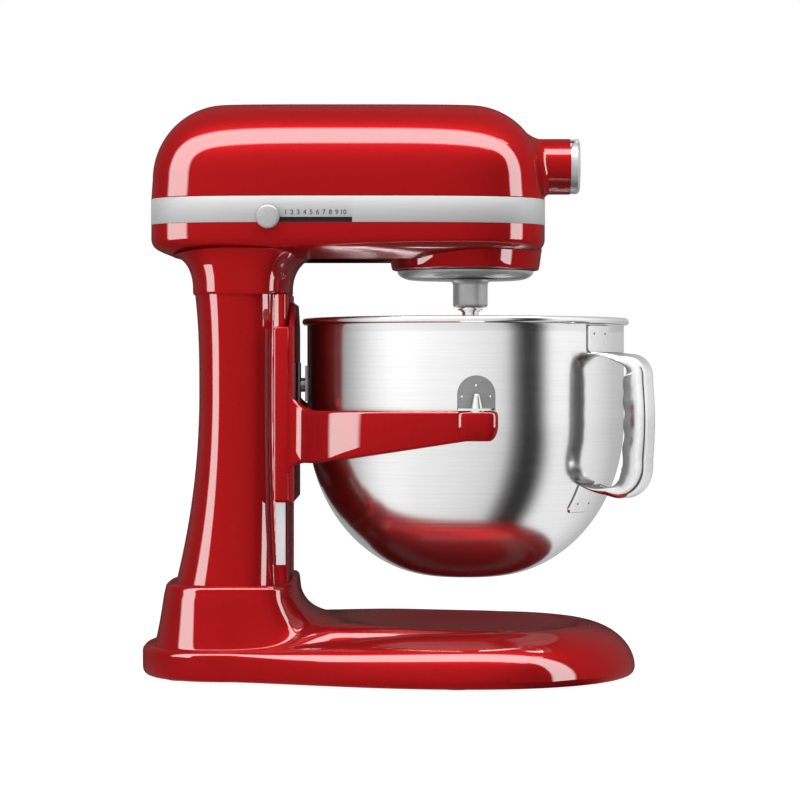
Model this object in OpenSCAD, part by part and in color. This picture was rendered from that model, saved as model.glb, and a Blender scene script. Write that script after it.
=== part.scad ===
// Bowl-lift stand mixer, millimetres, +Z up.
// +X points to the front (attachment hub), +Y to the lift lever side.
// The origin is on the worktop, under the middle of the mixer.

/* [Base] */
// Length of the base behind the origin
base_back = 188; // [184:1:200]
// Length of the base in front of the origin
base_front = 172; // [166:1:182]
// Width of the base across the bowl
base_w = 272; // [268:1:290]
// Width of the base at its back end
base_back_w = 164; // [150:1:170]
// Height of the rim round the bowl well
base_rim_h = 42; // [38:1:46]
// Depth of the bowl well below the rim
well_depth = 17; // [15:1:20]
// Radius of the bowl well
well_r = 100; // [92:1:108]
// Height of the pedestal's lip in front of the column
pedestal_top = 75; // [72:1:78]
// Wall of the base casting
base_wall = 7; // [6:0.5:9]
// Height of the rubber feet
foot_h = 4; // [3:0.5:6]
// Radius of the rubber feet
foot_r = 12; // [9:0.5:14]

/* [Column] */
// Distance of the column's front face behind the origin
column_front = 79.5; // [78:0.5:81]
// Distance of the column's waist behind the origin
column_back = 146.5; // [144:0.5:150]
// How far the column's foot flares backwards
column_flare = 17; // [12:1:20]
// Width of the column at its waist
column_w = 116; // [112:1:120]
// Width of the column at its foot
column_foot_w = 132; // [124:1:136]
// Height of the joint between column and head
column_top = 277; // [270:1:284]
// Width of the square front part that guides the bowl support
guide_w = 112; // [106:1:112]
// Width of a guide rail
rail_w = 6.5; // [5:0.5:8]
// How far a guide rail stands out
rail_proud = 1.2; // [0.8:0.1:1.6]

/* [Head] */
// Length of the head behind the origin
head_back = 181.5; // [178:0.5:186]
// Length of the head in front of the origin
head_front = 106; // [104:0.5:108]
// Width of the head
head_w = 136; // [132:1:142]
// Height of the top of the head
head_top = 417; // [414:1:424]
// Height of the underside of the head
head_under = 303; // [302:0.5:304]
// Height of the lower edge of the trim band
band_z = 328; // [326:0.5:329]
// Height of the trim band
band_h = 18.6; // [17:0.2:19]
// Thickness of the trim band
band_t = 1.6; // [1.2:0.1:2]
// Radius of the round ends of the head, seen from the side
head_round = 56; // [50:1:60]
// Wall of the head covers
head_wall = 5; // [4:0.5:6]

/* [Bowl] */
// Distance of the bowl's axis in front of the origin
bowl_x = 48; // [47:0.5:49]
// Outer radius of the bowl's wall
bowl_r = 116; // [114:0.5:116.5]
// Height of the bowl, from its bottom to its rim
bowl_h = 186; // [180:1:190]
// Depth of the round lower part of the bowl
bowl_round_h = 114; // [108:1:118]
// Radius of the flat at the bottom of the bowl
bowl_flat_r = 18; // [12:1:24]
// Wall of the bowl
bowl_wall = 1.5; // [1.2:0.1:2]
// Height of the bowl's bottom above the worktop, bowl raised
bowl_z = 72; // [71:0.5:75]
// Radius of the rolled rim
rim_r = 2.6; // [2:0.1:3]
// Angle of the handle, turned from the front
handle_angle = -37; // [-42:1:-32]
// Finger room between the bowl and the handle's grip
handle_gap = 26.5; // [24:0.5:30]
// Width of the handle's strap
handle_w = 20; // [18:1:24]
// Depth of the grip, from its outer face to the finger waves
handle_deep = 18; // [14:1:20]

/* [Bowl lift] */
// Travel of the bowl support
lift_travel = 40; // [36:1:42]
// Height of the top of the bowl support's arms
arm_top = 194; // [190:1:198]
// Height of an arm at its tip
arm_tip_h = 20; // [18:1:24]
// Height of an arm at the column
arm_root_h = 37; // [33:1:40]
// Thickness of an arm
arm_t = 9; // [8:0.5:10]
// Length of the curved part of an arm, seen from above
arm_reach = 119; // [114:1:122]
// Distance of the bowl's pins in front of its axis
pin_ahead = 5; // [0:1:8]
// Radius of a bowl pin
bowl_pin_r = 4.5; // [4:0.25:5.5]
// Height of a bowl pin
bowl_pin_h = 12; // [10:0.5:13]
// Radius of the lift shaft
lift_shaft_r = 6; // [5:0.5:7]
// Length of the lift lever
lever_len = 78; // [70:1:86]

/* [Planetary] */
// Radius of the planetary
planetary_r = 50; // [49:0.5:51]
// Depth of the planetary's dish
planetary_h = 7; // [6:0.5:9]
// Distance between the planetary's and the beater shaft's axes
beater_offset = 28; // [28:2:32]
// Resting direction of the beater shaft
beater_angle = -84; // [-96:1:-80]
// Radius of the beater shaft
beater_r = 5.5; // [5:0.25:6]
// Length of the beater shaft below the planetary's boss
beater_len = 27; // [24:1:30]
// Length of the thinner end of the beater shaft, below its cross pin
beater_spigot_len = 16.5; // [14:0.5:17]
// Module of the planetary's gears
gear_module = 2; // [2:0.5:2]
// Teeth of the pinion on the beater shaft
pinion_teeth = 16; // [14:1:16]

/* [Drive] */
// Height of the attachment hub's axis
hub_z = 372; // [371:0.5:373]
// Radius of the attachment hub
hub_r = 20.4; // [19.5:0.1:21]
// Length of the attachment hub in front of the origin
hub_front = 124.5; // [122:0.5:128]
// Bore of the attachment hub, radius
hub_bore_r = 15.5; // [15:0.25:16]
// Side of the hub's square drive socket
hub_square = 9.6; // [8:0.2:10]
// Thickness of the hinged hub cover
cover_t = 7; // [6:0.5:8]
// Angle that the hub cover opens to, degrees
lid_open = 110; // [95:1:115]
// Radius of the motor
motor_r = 37; // [34:0.5:38]
// Length of the motor
motor_len = 92; // [84:1:96]
// Radius of the circle on which the crown gear is driven
crown_r = 30; // [30:0.5:31]
// Teeth of the crown gear
crown_teeth = 40; // [40:4:44]
// Teeth of the motor's pinion
motor_teeth = 10; // [10:1:11]
// Teeth of the hub's gear
hub_teeth = 20; // [20:1:21]
// Radius of the centre shaft
centre_shaft_r = 6; // [5:0.5:7]

/* [Speed control] */
// Distance of the speed knob behind the origin, at off
speed_x = 94; // [90:1:98]
// Travel of the speed knob
speed_travel = 54; // [48:1:58]
// Radius of the speed knob
speed_knob_r = 8.5; // [7:0.25:10]
// Height of the slot that the speed knob runs in
slot_h = 3.6; // [3:0.1:4.2]

/* [Fits] */
// Gap between parts that slide on each other
slide_gap = 0.3; // [0.25:0.05:0.5]
// Radial clearance of a turning shaft
run_gap = 0.05; // [0.02:0.01:0.09]
// Gap between moving parts that never touch
free_gap = 1.2; // [1:0.1:1.5]

/* [Hidden] */
$fn = 72;

// ---- heights and places that follow from the sizes above ----
floor_gap = 2;
socket_depth = 5;
shoulder_z = pedestal_top - 6.5;
column_foot = shoulder_z - socket_depth;
column_flare_h = 137;
head_mid = (head_front - head_back) / 2;
cover_z = band_z + band_h;
crown_module = 2 * crown_r / crown_teeth;
hub_gear_r = crown_module * hub_teeth / 2;
motor_pinion_r = crown_module * motor_teeth / 2;
crown_pitch_z = hub_z - hub_gear_r;
motor_z = crown_pitch_z + motor_pinion_r;
motor_x = -104;
ring_teeth = pinion_teeth + 2 * beater_offset / gear_module;
ring_pitch_r = gear_module * ring_teeth / 2;
pinion_pitch_r = gear_module * pinion_teeth / 2;
ring_outer_r = planetary_r - 1;
drum_r = planetary_r + 4;
planetary_top = head_under - 8;
ring_z = head_under - 2;
ring_h = 8;
gear_floor = head_under + 7;
case_floor = head_under + 11;
boss_len = 20;
boss_r = 12.7;
boss_z = planetary_top - planetary_h - boss_len;
beater_x = bowl_x + beater_offset * cos(beater_angle);
beater_y = beater_offset * sin(beater_angle);
arm_r = bowl_r + 4.5;
pin_x = bowl_x + pin_ahead;
pin_y = sqrt(pow(bowl_r + 10.5, 2) - pow(pin_ahead, 2));
plate_back = column_front - slide_gap;
plate_t = 4;
flange_in = guide_w / 2 + rail_proud + slide_gap;
flange_t = 5.5;
flange_out = flange_in + flange_t;
arm_bend_y = flange_out + 3;
arm_out_y = pin_y + 3.6;
support_top = arm_top + 60;
support_bottom = arm_top - 66;
crank_r = lift_travel / (2 * sin(45));
lift_x = -100;
lift_bush_r = 9;
lift_z = arm_top - 34;
crank_pin_r = 4;
tongue_y0 = 8;
tongue_t = 6;
crank_y0 = tongue_y0 + tongue_t + 1;
crank_t = 6;
lever_y0 = flange_out + 1;
knob_hub_x = hub_front - 8.4;

// ---- helpers ----
function signed_pow(v, e) = sign(v) * pow(abs(v), e);

// Closed outline from x0 to x1, widest at xm; nb and nf set how square the back and the front are.
function outline(x0, x1, xm, w, nb, nf, steps) =
  [for (i = [0:steps - 1]) let (a = 360 * (i + 0.5) / steps, c = cos(a), n = c < 0 ? nb : nf)
    [xm + (c < 0 ? xm - x0 : x1 - xm) * signed_pow(c, 2 / n), w * signed_pow(sin(a), 2 / n)]];

function at_height(points, z) = [for (p = points) [p[0], p[1], z]];

// Skin through rings of equal length, closed at both ends.
module loft(rings) {
  n = len(rings[0]);
  m = len(rings);
  sides = [for (j = [0:m - 2]) for (i = [0:n - 1])
    [j * n + i, (j + 1) * n + i, (j + 1) * n + (i + 1) % n, j * n + (i + 1) % n]];
  caps = [[for (i = [0:n - 1]) i], [for (i = [0:n - 1]) m * n - 1 - i]];
  polyhedron(points = [for (r = rings) each r], faces = concat(sides, caps), convexity = 6);
}

module along_x(x, z, y = 0) { translate([x, y, z]) rotate([0, 90, 0]) children(); }
module along_y(x, y, z) { translate([x, y, z]) rotate([-90, 0, 0]) children(); }
module tube(r_out, r_in, h) {
  difference() {
    cylinder(r = r_out, h = h);
    translate([0, 0, -1]) cylinder(r = r_in, h = h + 2);
  }
}
module box(x0, x1, y0, y1, z0, z1) { translate([x0, y0, z0]) cube([x1 - x0, y1 - y0, z1 - z0]); }
module both_sides() { children(); mirror([0, 1, 0]) children(); }

// Spur gear outline: trapezoid teeth, one centred on +X; share is the tooth's part of the pitch.
function gear_outline(teeth, r, add, ded, share) =
  [for (i = [0:teeth - 1]) for (k = [[-1.25, -ded], [-0.65, add], [0.65, add], [1.25, -ded]])
    let (a = 360 / teeth * (i + k[0] * share / 2)) (r + k[1]) * [cos(a), sin(a)]];

// ---- base ----
back_len = 68;
base_half = base_w / 2;
base_back_half = base_back_w / 2;
back_x = -(base_back - back_len);

// Half width of the base at a place x between its back corner and the bowl's axis.
function base_half_at(x) = base_back_half
  + (base_half - base_back_half) * pow(sin(90 * (x - back_x) / (bowl_x - back_x)), 1.2);

// Base outline, moved inwards by d: round front, tapering sides, round back.
function base_side(d) = concat(
  [for (i = [0:11]) let (a = 90 * (i + 0.5) / 12)
    [bowl_x + (base_front - bowl_x - d) * pow(cos(a), 0.93), (base_half - d) * pow(sin(a), 0.93)]],
  [for (i = [0:6]) let (x = bowl_x + (back_x - bowl_x) * i / 7) [x, base_half_at(x) - d]],
  [for (i = [0:8]) let (a = 90 * i / 9)
    [back_x - (back_len - d) * pow(sin(a), 0.85), (base_back_half - d) * pow(cos(a), 0.85)]]);
function base_outline(d) = let (s = base_side(d), n = len(s))
  concat(s, [[-(base_back - d), 0]], [for (i = [0:n - 1]) [s[n - 1 - i][0], -s[n - 1 - i][1]]]);

pedestal_front = column_front - 7.5;
column_mid = -118;
module pedestal_loft() {
  steps = [0, 0.12, 0.26, 0.42, 0.6, 0.8, 0.93, 1];
  z0 = base_rim_h - 8;
  loft([for (u = steps) let (v = 1 - u, top_round = u == 1 ? 4 : u > 0.9 ? 1 : 0)
    at_height(outline(-(base_back - 17 + 9 * pow(v, 2.4)) + top_round,
      -pedestal_front + 50 * pow(v, 2.2) - top_round, column_mid,
      column_foot_w / 2 + 7 + 4 * v * v - top_round, 3, 4 - 1.4 * v, 48), z0 + (pedestal_top - z0) * u)]);
}

// Side view of what the pedestal's top is cut to: low round the column, with a lip in front of it.
module pedestal_top_cut() {
  lip_x = -column_front - 1.5;
  translate([0, base_w, 0]) rotate([90, 0, 0]) linear_extrude(2 * base_w) polygon([
    [-2 * base_back, shoulder_z], [lip_x - 7, shoulder_z], [lip_x, pedestal_top + 1],
    [lip_x, pedestal_top + 20], [-2 * base_back, pedestal_top + 20]]);
}

module base_loft() {
  low = [[floor_gap, 5], [floor_gap + 2, 2], [floor_gap + 8, 0.4]];
  arc_z = base_rim_h / 2 - 1;
  high = [for (a = [0, 15, 30, 45, 58, 70, 80, 90])
    [arc_z + (base_rim_h - arc_z) * sin(a), 19 * (1 - cos(a))]];
  loft([for (k = concat(low, high)) at_height(base_outline(k[1]), k[0])]);
}

foot_places = [[base_front - 34, 0], [40, base_half - 32], [40, -(base_half - 32)],
  [-(base_back - 32), 42], [-(base_back - 32), -42]];
bolt_places = [for (x = [-142, -106]) for (y = [-36, 36]) [x, y]];
well_sphere_r = (pow(well_r, 2) + pow(well_depth, 2)) / (2 * well_depth);
hollow_top = base_rim_h - well_depth - base_wall;

module column_foot_outline(extra) {
  linear_extrude(pedestal_top - column_foot + 1) union() {
    polygon(outline(-column_back_at(shoulder_z) - extra, -column_front + extra, -118,
      column_half_at(shoulder_z) + extra, 2.8, 2.6, 48));
    translate([-column_front - 18.5 - extra, -guide_w / 2 - extra])
      square([18.5 + 2 * extra, guide_w + 2 * extra]);
  }
}

module base() {
  color([0.72, 0.02, 0.05]) difference() {
    union() {
      difference() {
        base_loft();
        translate([bowl_x, 0, base_rim_h - well_depth + well_sphere_r]) sphere(r = well_sphere_r, $fn = 96);
      }
      difference() {
        pedestal_loft();
        pedestal_top_cut();
      }
    }
    translate([0, 0, column_foot]) column_foot_outline(slide_gap / 2);
    difference() {
      translate([0, 0, -1]) linear_extrude(hollow_top + 1) polygon(base_outline(base_wall + 3));
      for (p = foot_places) translate([p[0], p[1], foot_h]) cylinder(r = foot_r + 2, h = hollow_top);
    }
    difference() {
      translate([0, 0, hollow_top - 1]) linear_extrude(base_rim_h - base_wall - hollow_top + 1)
        polygon(base_outline(3 * base_wall + 3));
      translate([bowl_x, 0, 0]) cylinder(r = well_r + base_wall, h = base_rim_h);
      for (p = foot_places) translate([p[0], p[1], foot_h]) cylinder(r = foot_r + 2, h = base_rim_h);
    }
    box(-(base_back - 30), -(pedestal_front + 12), -50, 50, hollow_top - 1, column_foot - 8);
    for (p = bolt_places) translate([p[0], p[1], column_foot - 9]) cylinder(r = 4.2, h = 12);
  }
}
module feet() {
  color([0.08, 0.08, 0.08]) for (p = foot_places) translate([p[0], p[1], 0]) {
    cylinder(r1 = foot_r - 1.5, r2 = foot_r, h = foot_h - 1);
    translate([0, 0, foot_h - 1]) cylinder(r = foot_r, h = 1);
  }
}
module base_bolts() {
  color([0.6, 0.6, 0.62]) for (p = bolt_places) translate([p[0], p[1], column_foot - 14]) {
    cylinder(r = 7, h = 6, $fn = 6);
    cylinder(r = 4, h = 30);
  }
}

// ---- column ----
waist_z = 205;
function column_back_at(z) = column_back
  + (z < waist_z ? column_flare * pow((waist_z - z) / column_flare_h, 2) : 3 * pow((z - waist_z) / 72, 3));
function column_half_at(z) = column_w / 2
  + (z < waist_z ? (column_foot_w - column_w) / 2 * pow((waist_z - z) / column_flare_h, 2)
    : 2 * pow((z - waist_z) / 72, 2));
pocket_z0 = lift_z - lift_travel / 2 - 19;
pocket_z1 = lift_z + lift_travel / 2 + 18;
pocket_back = column_back - 7;
rail_x = -column_front - 8.9;
rail_z0 = 83.5;
rail_end_gap = 4.5;
rail_z1 = support_top - 2;
rail_deep = 2.5;

module column_solid() {
  levels = [column_foot, column_foot + socket_depth, 90, 110, 130, 150, 170, 190, 205, 225, 250, column_top];
  loft([for (z = levels) let (zz = max(z, shoulder_z))
    at_height(outline(-column_back_at(zz), -column_front, column_mid, column_half_at(zz), 2.8, 2.6, 48), z)]);
  box(-column_front - 18.5, -column_front, -guide_w / 2, guide_w / 2, column_foot, column_top);
}

// Inside of the casting, which leaves its walls, both bolted ends and the bush's boss.
module column_hollow() {
  wall = 8;
  levels = [column_foot + 20, 120, 150, waist_z, 230, column_top - 26];
  difference() {
    loft([for (z = levels) at_height(outline(-column_back_at(z) + wall, -column_front - wall - 1, column_mid,
      column_half_at(z) - wall, 2.8, 2.6, 40), z)]);
    along_y(lift_x, 0, lift_z) cylinder(r = 16, h = column_w);
  }
}

module column() {
  color([0.72, 0.02, 0.05]) difference() {
    column_solid();
    both_sides() box(rail_x, rail_x + rail_w, guide_w / 2 - rail_deep, guide_w / 2 + 1, rail_z0, rail_z1);
    both_sides() box(rail_x, rail_x + rail_w, guide_w / 2 - rail_deep, guide_w / 2 + 1, rail_z0 - rail_end_gap, rail_z0);
    column_hollow();
    box(-pocket_back, -(column_front + 6), -20, 30, pocket_z0, pocket_z1);
    box(-(column_front + 7), -(column_front - 1), tongue_y0 - 1, tongue_y0 + tongue_t + 1,
      lift_z + lift_travel / 2 - 11 - lift_travel, lift_z + lift_travel / 2 + 11);
    along_y(lift_x, 29, lift_z) cylinder(r = lift_bush_r, h = 60);
    for (p = bolt_places) translate([p[0], p[1], column_foot - 1]) cylinder(r = 4, h = 17);
    for (p = neck_bolts) translate([p[0], p[1], column_top - 20]) cylinder(r = 3, h = 21);
    along_x(-(column_back_at(100) + 2), 100) cylinder(r = 9, h = 14);
  }
}
module guide_rails() {
  color([0.75, 0.76, 0.78]) both_sides()
    box(rail_x, rail_x + rail_w, guide_w / 2 - rail_deep, guide_w / 2 + rail_proud, rail_z0, rail_z1);
}
module cord_grommet() {
  color([0.08, 0.08, 0.08]) along_x(-(column_back_at(100) - 1), 100) tube(9, 4.5, 11);
}
module lift_bush() {
  color([0.75, 0.6, 0.3]) along_y(lift_x, 30, lift_z) tube(lift_bush_r, lift_shaft_r + run_gap, column_half_at(lift_z) - 31);
}

// ---- head castings ----
neck_back = column_back_at(column_top) + 1.5;
neck_front = column_front - 0.5;
neck_half = column_half_at(column_top) + 1;
neck_bolts = [for (x = [-134, -98]) for (y = [-30, 30]) [x, y]];
window_x0 = -(speed_x + 10);
window_x1 = -speed_x + speed_travel + 66;
window_h = 10;
liner_t = 0.8;
liner_y = -head_w / 2 + head_wall - liner_t + 0.4;
slide_t = 1.4;
slide_y = liner_y - slide_gap - slide_t;

function head_outline(d, w_in, steps) =
  outline(-head_back + d, head_front - d, head_mid, head_w / 2 - w_in, 3.6, 3.6, steps);

// Roof of the head, moved inwards by t: round ends and an arched section.
function roof_rings(t, steps, angles) = let (zc = head_top - head_round)
  [for (a = angles) at_height(head_outline(t + 1 + (head_round - t - 1) * (1 - cos(a)),
    t + (head_w / 2 - t) * (1 - pow(cos(a), 0.72)), steps), zc + (head_round - t) * sin(a))];

module gearcase_solid() {
  flare = [for (a = [0, 20, 40, 58, 74, 90]) let (k = 1 - cos(a))
    at_height(outline(-neck_back - 15 * k, -neck_front + 18 * k, -116, neck_half + 3 * k, 3, 3.2, 56),
      column_top + 5 + (head_under - column_top - 5) * sin(a))];
  edge = [for (a = [0, 22, 45, 66, 90])
    at_height(head_outline(8 * (1 - sin(a)), 10 * (1 - sin(a)), 56), head_under + 0.5 + 13 * (1 - cos(a)))];
  foot = [at_height(outline(-neck_back, -neck_front, -116, neck_half, 3, 3.2, 56), column_top)];
  loft(concat(foot, flare, edge, [at_height(head_outline(0, 0, 56), band_z)]));
}

module gearcase() {
  color([0.72, 0.02, 0.05]) difference() {
    union() {
      gearcase_solid();
      translate([bowl_x, 0, 0]) rotate_extrude() polygon([[0, planetary_top + 1], [drum_r, planetary_top + 1],
        [drum_r + 3, head_under + 10.5], [drum_r + 1, head_under + 12], [0, head_under + 12]]);
      translate([0, 0, gear_floor]) linear_extrude(cover_z - gear_floor) polygon(head_outline(band_t, band_t, 56));
    }
    difference() {
      translate([0, 0, case_floor]) linear_extrude(cover_z) polygon(head_outline(head_wall, head_wall, 56));
      translate([bowl_x, 0, case_floor - 1]) cylinder(r = 19, h = 32);
    }
    translate([bowl_x, 0, planetary_top]) cylinder(r = ring_outer_r, h = gear_floor - planetary_top);
    translate([bowl_x, 0, gear_floor - 1]) cylinder(r = 14, h = 40);
    box(window_x0, window_x1, -head_w, -head_w / 2 + head_wall + 1, band_z, band_z + window_h);
    for (p = neck_bolts) translate([p[0], p[1], column_top - 1]) cylinder(r = 3.3, h = 50);
  }
}
module head_bolts() {
  color([0.6, 0.6, 0.62]) for (p = neck_bolts) {
    translate([p[0], p[1], case_floor]) cylinder(r = 6, h = 5, $fn = 6);
    translate([p[0], p[1], column_top - 18]) cylinder(r = 3, h = case_floor - column_top + 18);
  }
}
module head_cover() {
  wall_low = [at_height(head_outline(head_wall, head_wall, 56), cover_z)];
  rim = [at_height(head_outline(0, 0, 56), cover_z)];
  inside = roof_rings(head_wall, 56, [84, 66, 45, 22, 0]);
  outside = roof_rings(0, 56, [0, 11, 22, 33, 44, 55, 66, 76, 84, 88.5]);
  color([0.72, 0.02, 0.05]) difference() {
    loft(concat(inside, wall_low, rim, outside));
    along_x(80, hub_z) cylinder(r = hub_r, h = 60);
  }
}
module trim_band() {
  color([0.76, 0.76, 0.77]) translate([0, 0, band_z]) difference() {
    linear_extrude(band_h) difference() {
      polygon(head_outline(0, 0, 112));
      polygon(head_outline(band_t, band_t, 56));
    }
    box(-speed_x - 4, -speed_x + speed_travel + 6, -head_w, -40, -1, slot_h);
  }
}
module slot_liner() {
  color([0.03, 0.03, 0.03]) box(window_x0, window_x1, liner_y, liner_y + liner_t, band_z, band_z + window_h);
}
module speed_board() {
  board_x = head_mid - 75;
  board_y = -head_w / 2 + 2 * head_wall + 2;
  color([0.1, 0.35, 0.15]) box(board_x, board_x + 60, board_y, board_y + 1.6, case_floor, band_z + 6);
}

// ---- motor ----
module motor_saddles() {
  color([0.72, 0.02, 0.05]) difference() {
    for (x = [motor_x - 34, motor_x + 24]) box(x, x + 10, -32, 32, case_floor, motor_z - 14);
    along_x(motor_x - 60, motor_z) cylinder(r = motor_r, h = 120);
    for (p = neck_bolts) translate([p[0], p[1], case_floor - 1]) cylinder(r = 8, h = 12);
  }
}
module motor_stator() {
  color([0.35, 0.35, 0.37]) along_x(motor_x - motor_len / 2, motor_z) {
    tube(motor_r, motor_r - 10, motor_len);
    for (z = [0, motor_len - 5]) translate([0, 0, z]) tube(motor_r - 10, 5 + run_gap, 5);
  }
}
module motor_rotor() {
  color([0.55, 0.5, 0.45]) {
    along_x(motor_x - motor_len / 2 - 14, motor_z) cylinder(r = 5, h = motor_len + 14);
    along_x(motor_x + motor_len / 2, motor_z) cylinder(r = 4, h = bowl_x - crown_r + 4 - motor_x - motor_len / 2);
    along_x(motor_x - motor_len / 2 + 10, motor_z) cylinder(r = motor_r - 11, h = motor_len - 20);
  }
}
module motor_fan() {
  color([0.15, 0.15, 0.16]) along_x(motor_x - motor_len / 2 - 12, motor_z) difference() {
    union() {
      cylinder(r = 10, h = 8);
      for (i = [0:8]) rotate(i * 40) translate([8, -0.8, 0]) cube([19, 1.6, 7]);
      cylinder(r = 27, h = 1.5);
    }
    translate([0, 0, -1]) cylinder(r = 5, h = 12);
  }
}
module motor_pinion() {
  color([0.6, 0.6, 0.62]) along_x(bowl_x - crown_r - 3, motor_z) difference() {
    linear_extrude(6) polygon(gear_outline(motor_teeth, motor_pinion_r, 1, 1.6, 0.36));
    translate([0, 0, -1]) cylinder(r = 4, h = 8);
  }
}

// ---- planetary and beater shaft ----
bearing_r = 14;
beater_journal_r = beater_r + 0.5;
tower_top = case_floor + 30;

module shaft_bearings() {
  color([0.7, 0.7, 0.72]) for (z = [gear_floor, tower_top - 9])
    translate([bowl_x, 0, z]) tube(bearing_r, centre_shaft_r + run_gap, 9);
}
module ring_gear() {
  color([0.6, 0.6, 0.62]) translate([bowl_x, 0, ring_z]) difference() {
    cylinder(r = ring_outer_r, h = ring_h);
    translate([0, 0, -1]) rotate(beater_angle)
      linear_extrude(ring_h + 2) polygon(gear_outline(ring_teeth, ring_pitch_r, 2.4, 1.6, 0.6));
  }
}
module planetary_housing() {
  dish = [for (a = [0:15:90]) [planetary_r - 12 * (1 - sin(a)), planetary_top - planetary_h * cos(a)]];
  color([0.62, 0.63, 0.64]) difference() {
    union() {
      translate([bowl_x, 0, 0]) rotate_extrude() polygon(concat([[0, planetary_top - planetary_h]], dish,
        [[planetary_r, planetary_top + 0.6], [planetary_r - 3, planetary_top + 0.6],
         [planetary_r - 3, planetary_top + 3], [0, planetary_top + 3]]));
      translate([beater_x, beater_y, 0]) rotate_extrude() polygon(concat([[0, boss_z]],
        [for (a = [0:22.5:90]) [boss_r - 3 * (1 - sin(a)), boss_z + 3 * (1 - cos(a))]],
        [for (a = [0:22.5:90]) [boss_r + 4 * (1 - cos(a)), planetary_top - planetary_h - 4 * (1 - sin(a))]],
        [[0, planetary_top - 2]]));
      translate([bowl_x, 0, planetary_top]) cylinder(r = 9.5, h = gear_floor - planetary_top - 1);
    }
    translate([bowl_x, 0, planetary_top - 3]) cylinder(r = centre_shaft_r, h = 20);
    translate([beater_x, beater_y, boss_z - 1]) cylinder(r = beater_journal_r + 3, h = 60);
  }
}
module centre_shaft() {
  color([0.7, 0.7, 0.72]) translate([bowl_x, 0, planetary_top - 3])
    cylinder(r = centre_shaft_r, h = crown_pitch_z - planetary_top + 3);
}
module crown_gear() {
  color([0.6, 0.6, 0.62]) translate([bowl_x, 0, 0]) difference() {
    union() {
      translate([0, 0, crown_pitch_z - 8]) cylinder(r = crown_r + 4, h = 6.4);
      for (i = [0:crown_teeth - 1]) rotate(360 / crown_teeth * (i + 0.5)) translate([crown_r, 0, 0])
        rotate([90, 0, 90]) translate([0, 0, -3]) linear_extrude(6)
          polygon([[-1.1, crown_pitch_z - 2], [-0.5, crown_pitch_z + 1], [0.5, crown_pitch_z + 1],
            [1.1, crown_pitch_z - 2]]);
    }
    translate([0, 0, crown_pitch_z - 9]) cylinder(r = centre_shaft_r, h = 20);
  }
}
module beater_bushes() {
  color([0.75, 0.6, 0.3]) for (z = [boss_z, planetary_top - 7])
    translate([beater_x, beater_y, z]) tube(beater_journal_r + 3, beater_journal_r + run_gap, 10);
}
module beater_shaft() {
  color([0.8, 0.8, 0.82]) translate([beater_x, beater_y, boss_z - beater_len]) difference() {
    union() {
      cylinder(r1 = beater_r - 1, r2 = beater_r, h = 1);
      translate([0, 0, 1]) cylinder(r = beater_r, h = beater_spigot_len - 1);
      translate([0, 0, beater_spigot_len])
        cylinder(r = beater_journal_r, h = ring_z + ring_h - boss_z + beater_len - beater_spigot_len);
    }
    along_y(0, -20, beater_len - 8) cylinder(r = 1.6, h = 40);
  }
}
module beater_pin() {
  color([0.8, 0.8, 0.82]) along_y(beater_x, beater_y - beater_journal_r - 3, boss_z - 8)
    cylinder(r = 1.6, h = 2 * beater_journal_r + 6);
}
module beater_pinion() {
  color([0.6, 0.6, 0.62]) translate([beater_x, beater_y, ring_z + 0.5]) difference() {
    rotate(beater_angle) linear_extrude(ring_h - 1)
      polygon(gear_outline(pinion_teeth, pinion_pitch_r, 1.6, 2.4, 0.4));
    translate([0, 0, -1]) cylinder(r = beater_journal_r, h = ring_h + 2);
  }
}
module beater_collar() {
  color([0.8, 0.8, 0.82]) translate([beater_x, beater_y, boss_z - 3]) difference() {
    union() {
      cylinder(r = 7, h = 2.7);
      translate([0, 0, 1]) cylinder(r = 9, h = 1.2);
    }
    translate([0, 0, -1]) cylinder(r = beater_journal_r, h = 5);
  }
}

// ---- attachment hub ----
hub_back = 84;
hub_seat_x = hub_back + 14;
hub_bush_r = hub_bore_r - 2.5;
hinge_x = hub_front + cover_t - 2.2;
hinge_r = 2;
hinge_z = hub_z + hub_r - hinge_r - 0.6;

module hub_collar() {
  color([0.72, 0.02, 0.05]) difference() {
    along_x(hub_back, hub_z) tube(hub_r, hub_bush_r, hub_front - hub_back);
    along_x(hub_seat_x, hub_z) cylinder(r = hub_bore_r, h = hub_front);
    along_y(knob_hub_x, 0, hub_z) cylinder(r = 3 + slide_gap, h = 40);
    translate([bowl_x, 0, crown_pitch_z - 20]) cylinder(r = crown_r + 5, h = 80);
  }
}
module hub_bush() {
  color([0.75, 0.6, 0.3]) along_x(hub_back, hub_z) tube(hub_bush_r, 7.5 + run_gap, hub_seat_x - hub_back);
}
module hub_drive_shaft() {
  color([0.7, 0.7, 0.72]) difference() {
    along_x(bowl_x + crown_r - 4, hub_z) cylinder(r = 7.5, h = hub_seat_x - bowl_x - crown_r + 3.5);
    along_x(bowl_x + crown_r + 10, hub_z) rotate(45)
      cylinder(r = hub_square / sqrt(2), h = 30, $fn = 4);
  }
}
module hub_gear() {
  color([0.6, 0.6, 0.62]) along_x(bowl_x + crown_r - 3, hub_z) difference() {
    linear_extrude(6) polygon(gear_outline(hub_teeth, hub_gear_r, 1, 1.6, 0.36));
    translate([0, 0, -1]) cylinder(r = 7.5, h = 8);
  }
}
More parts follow.
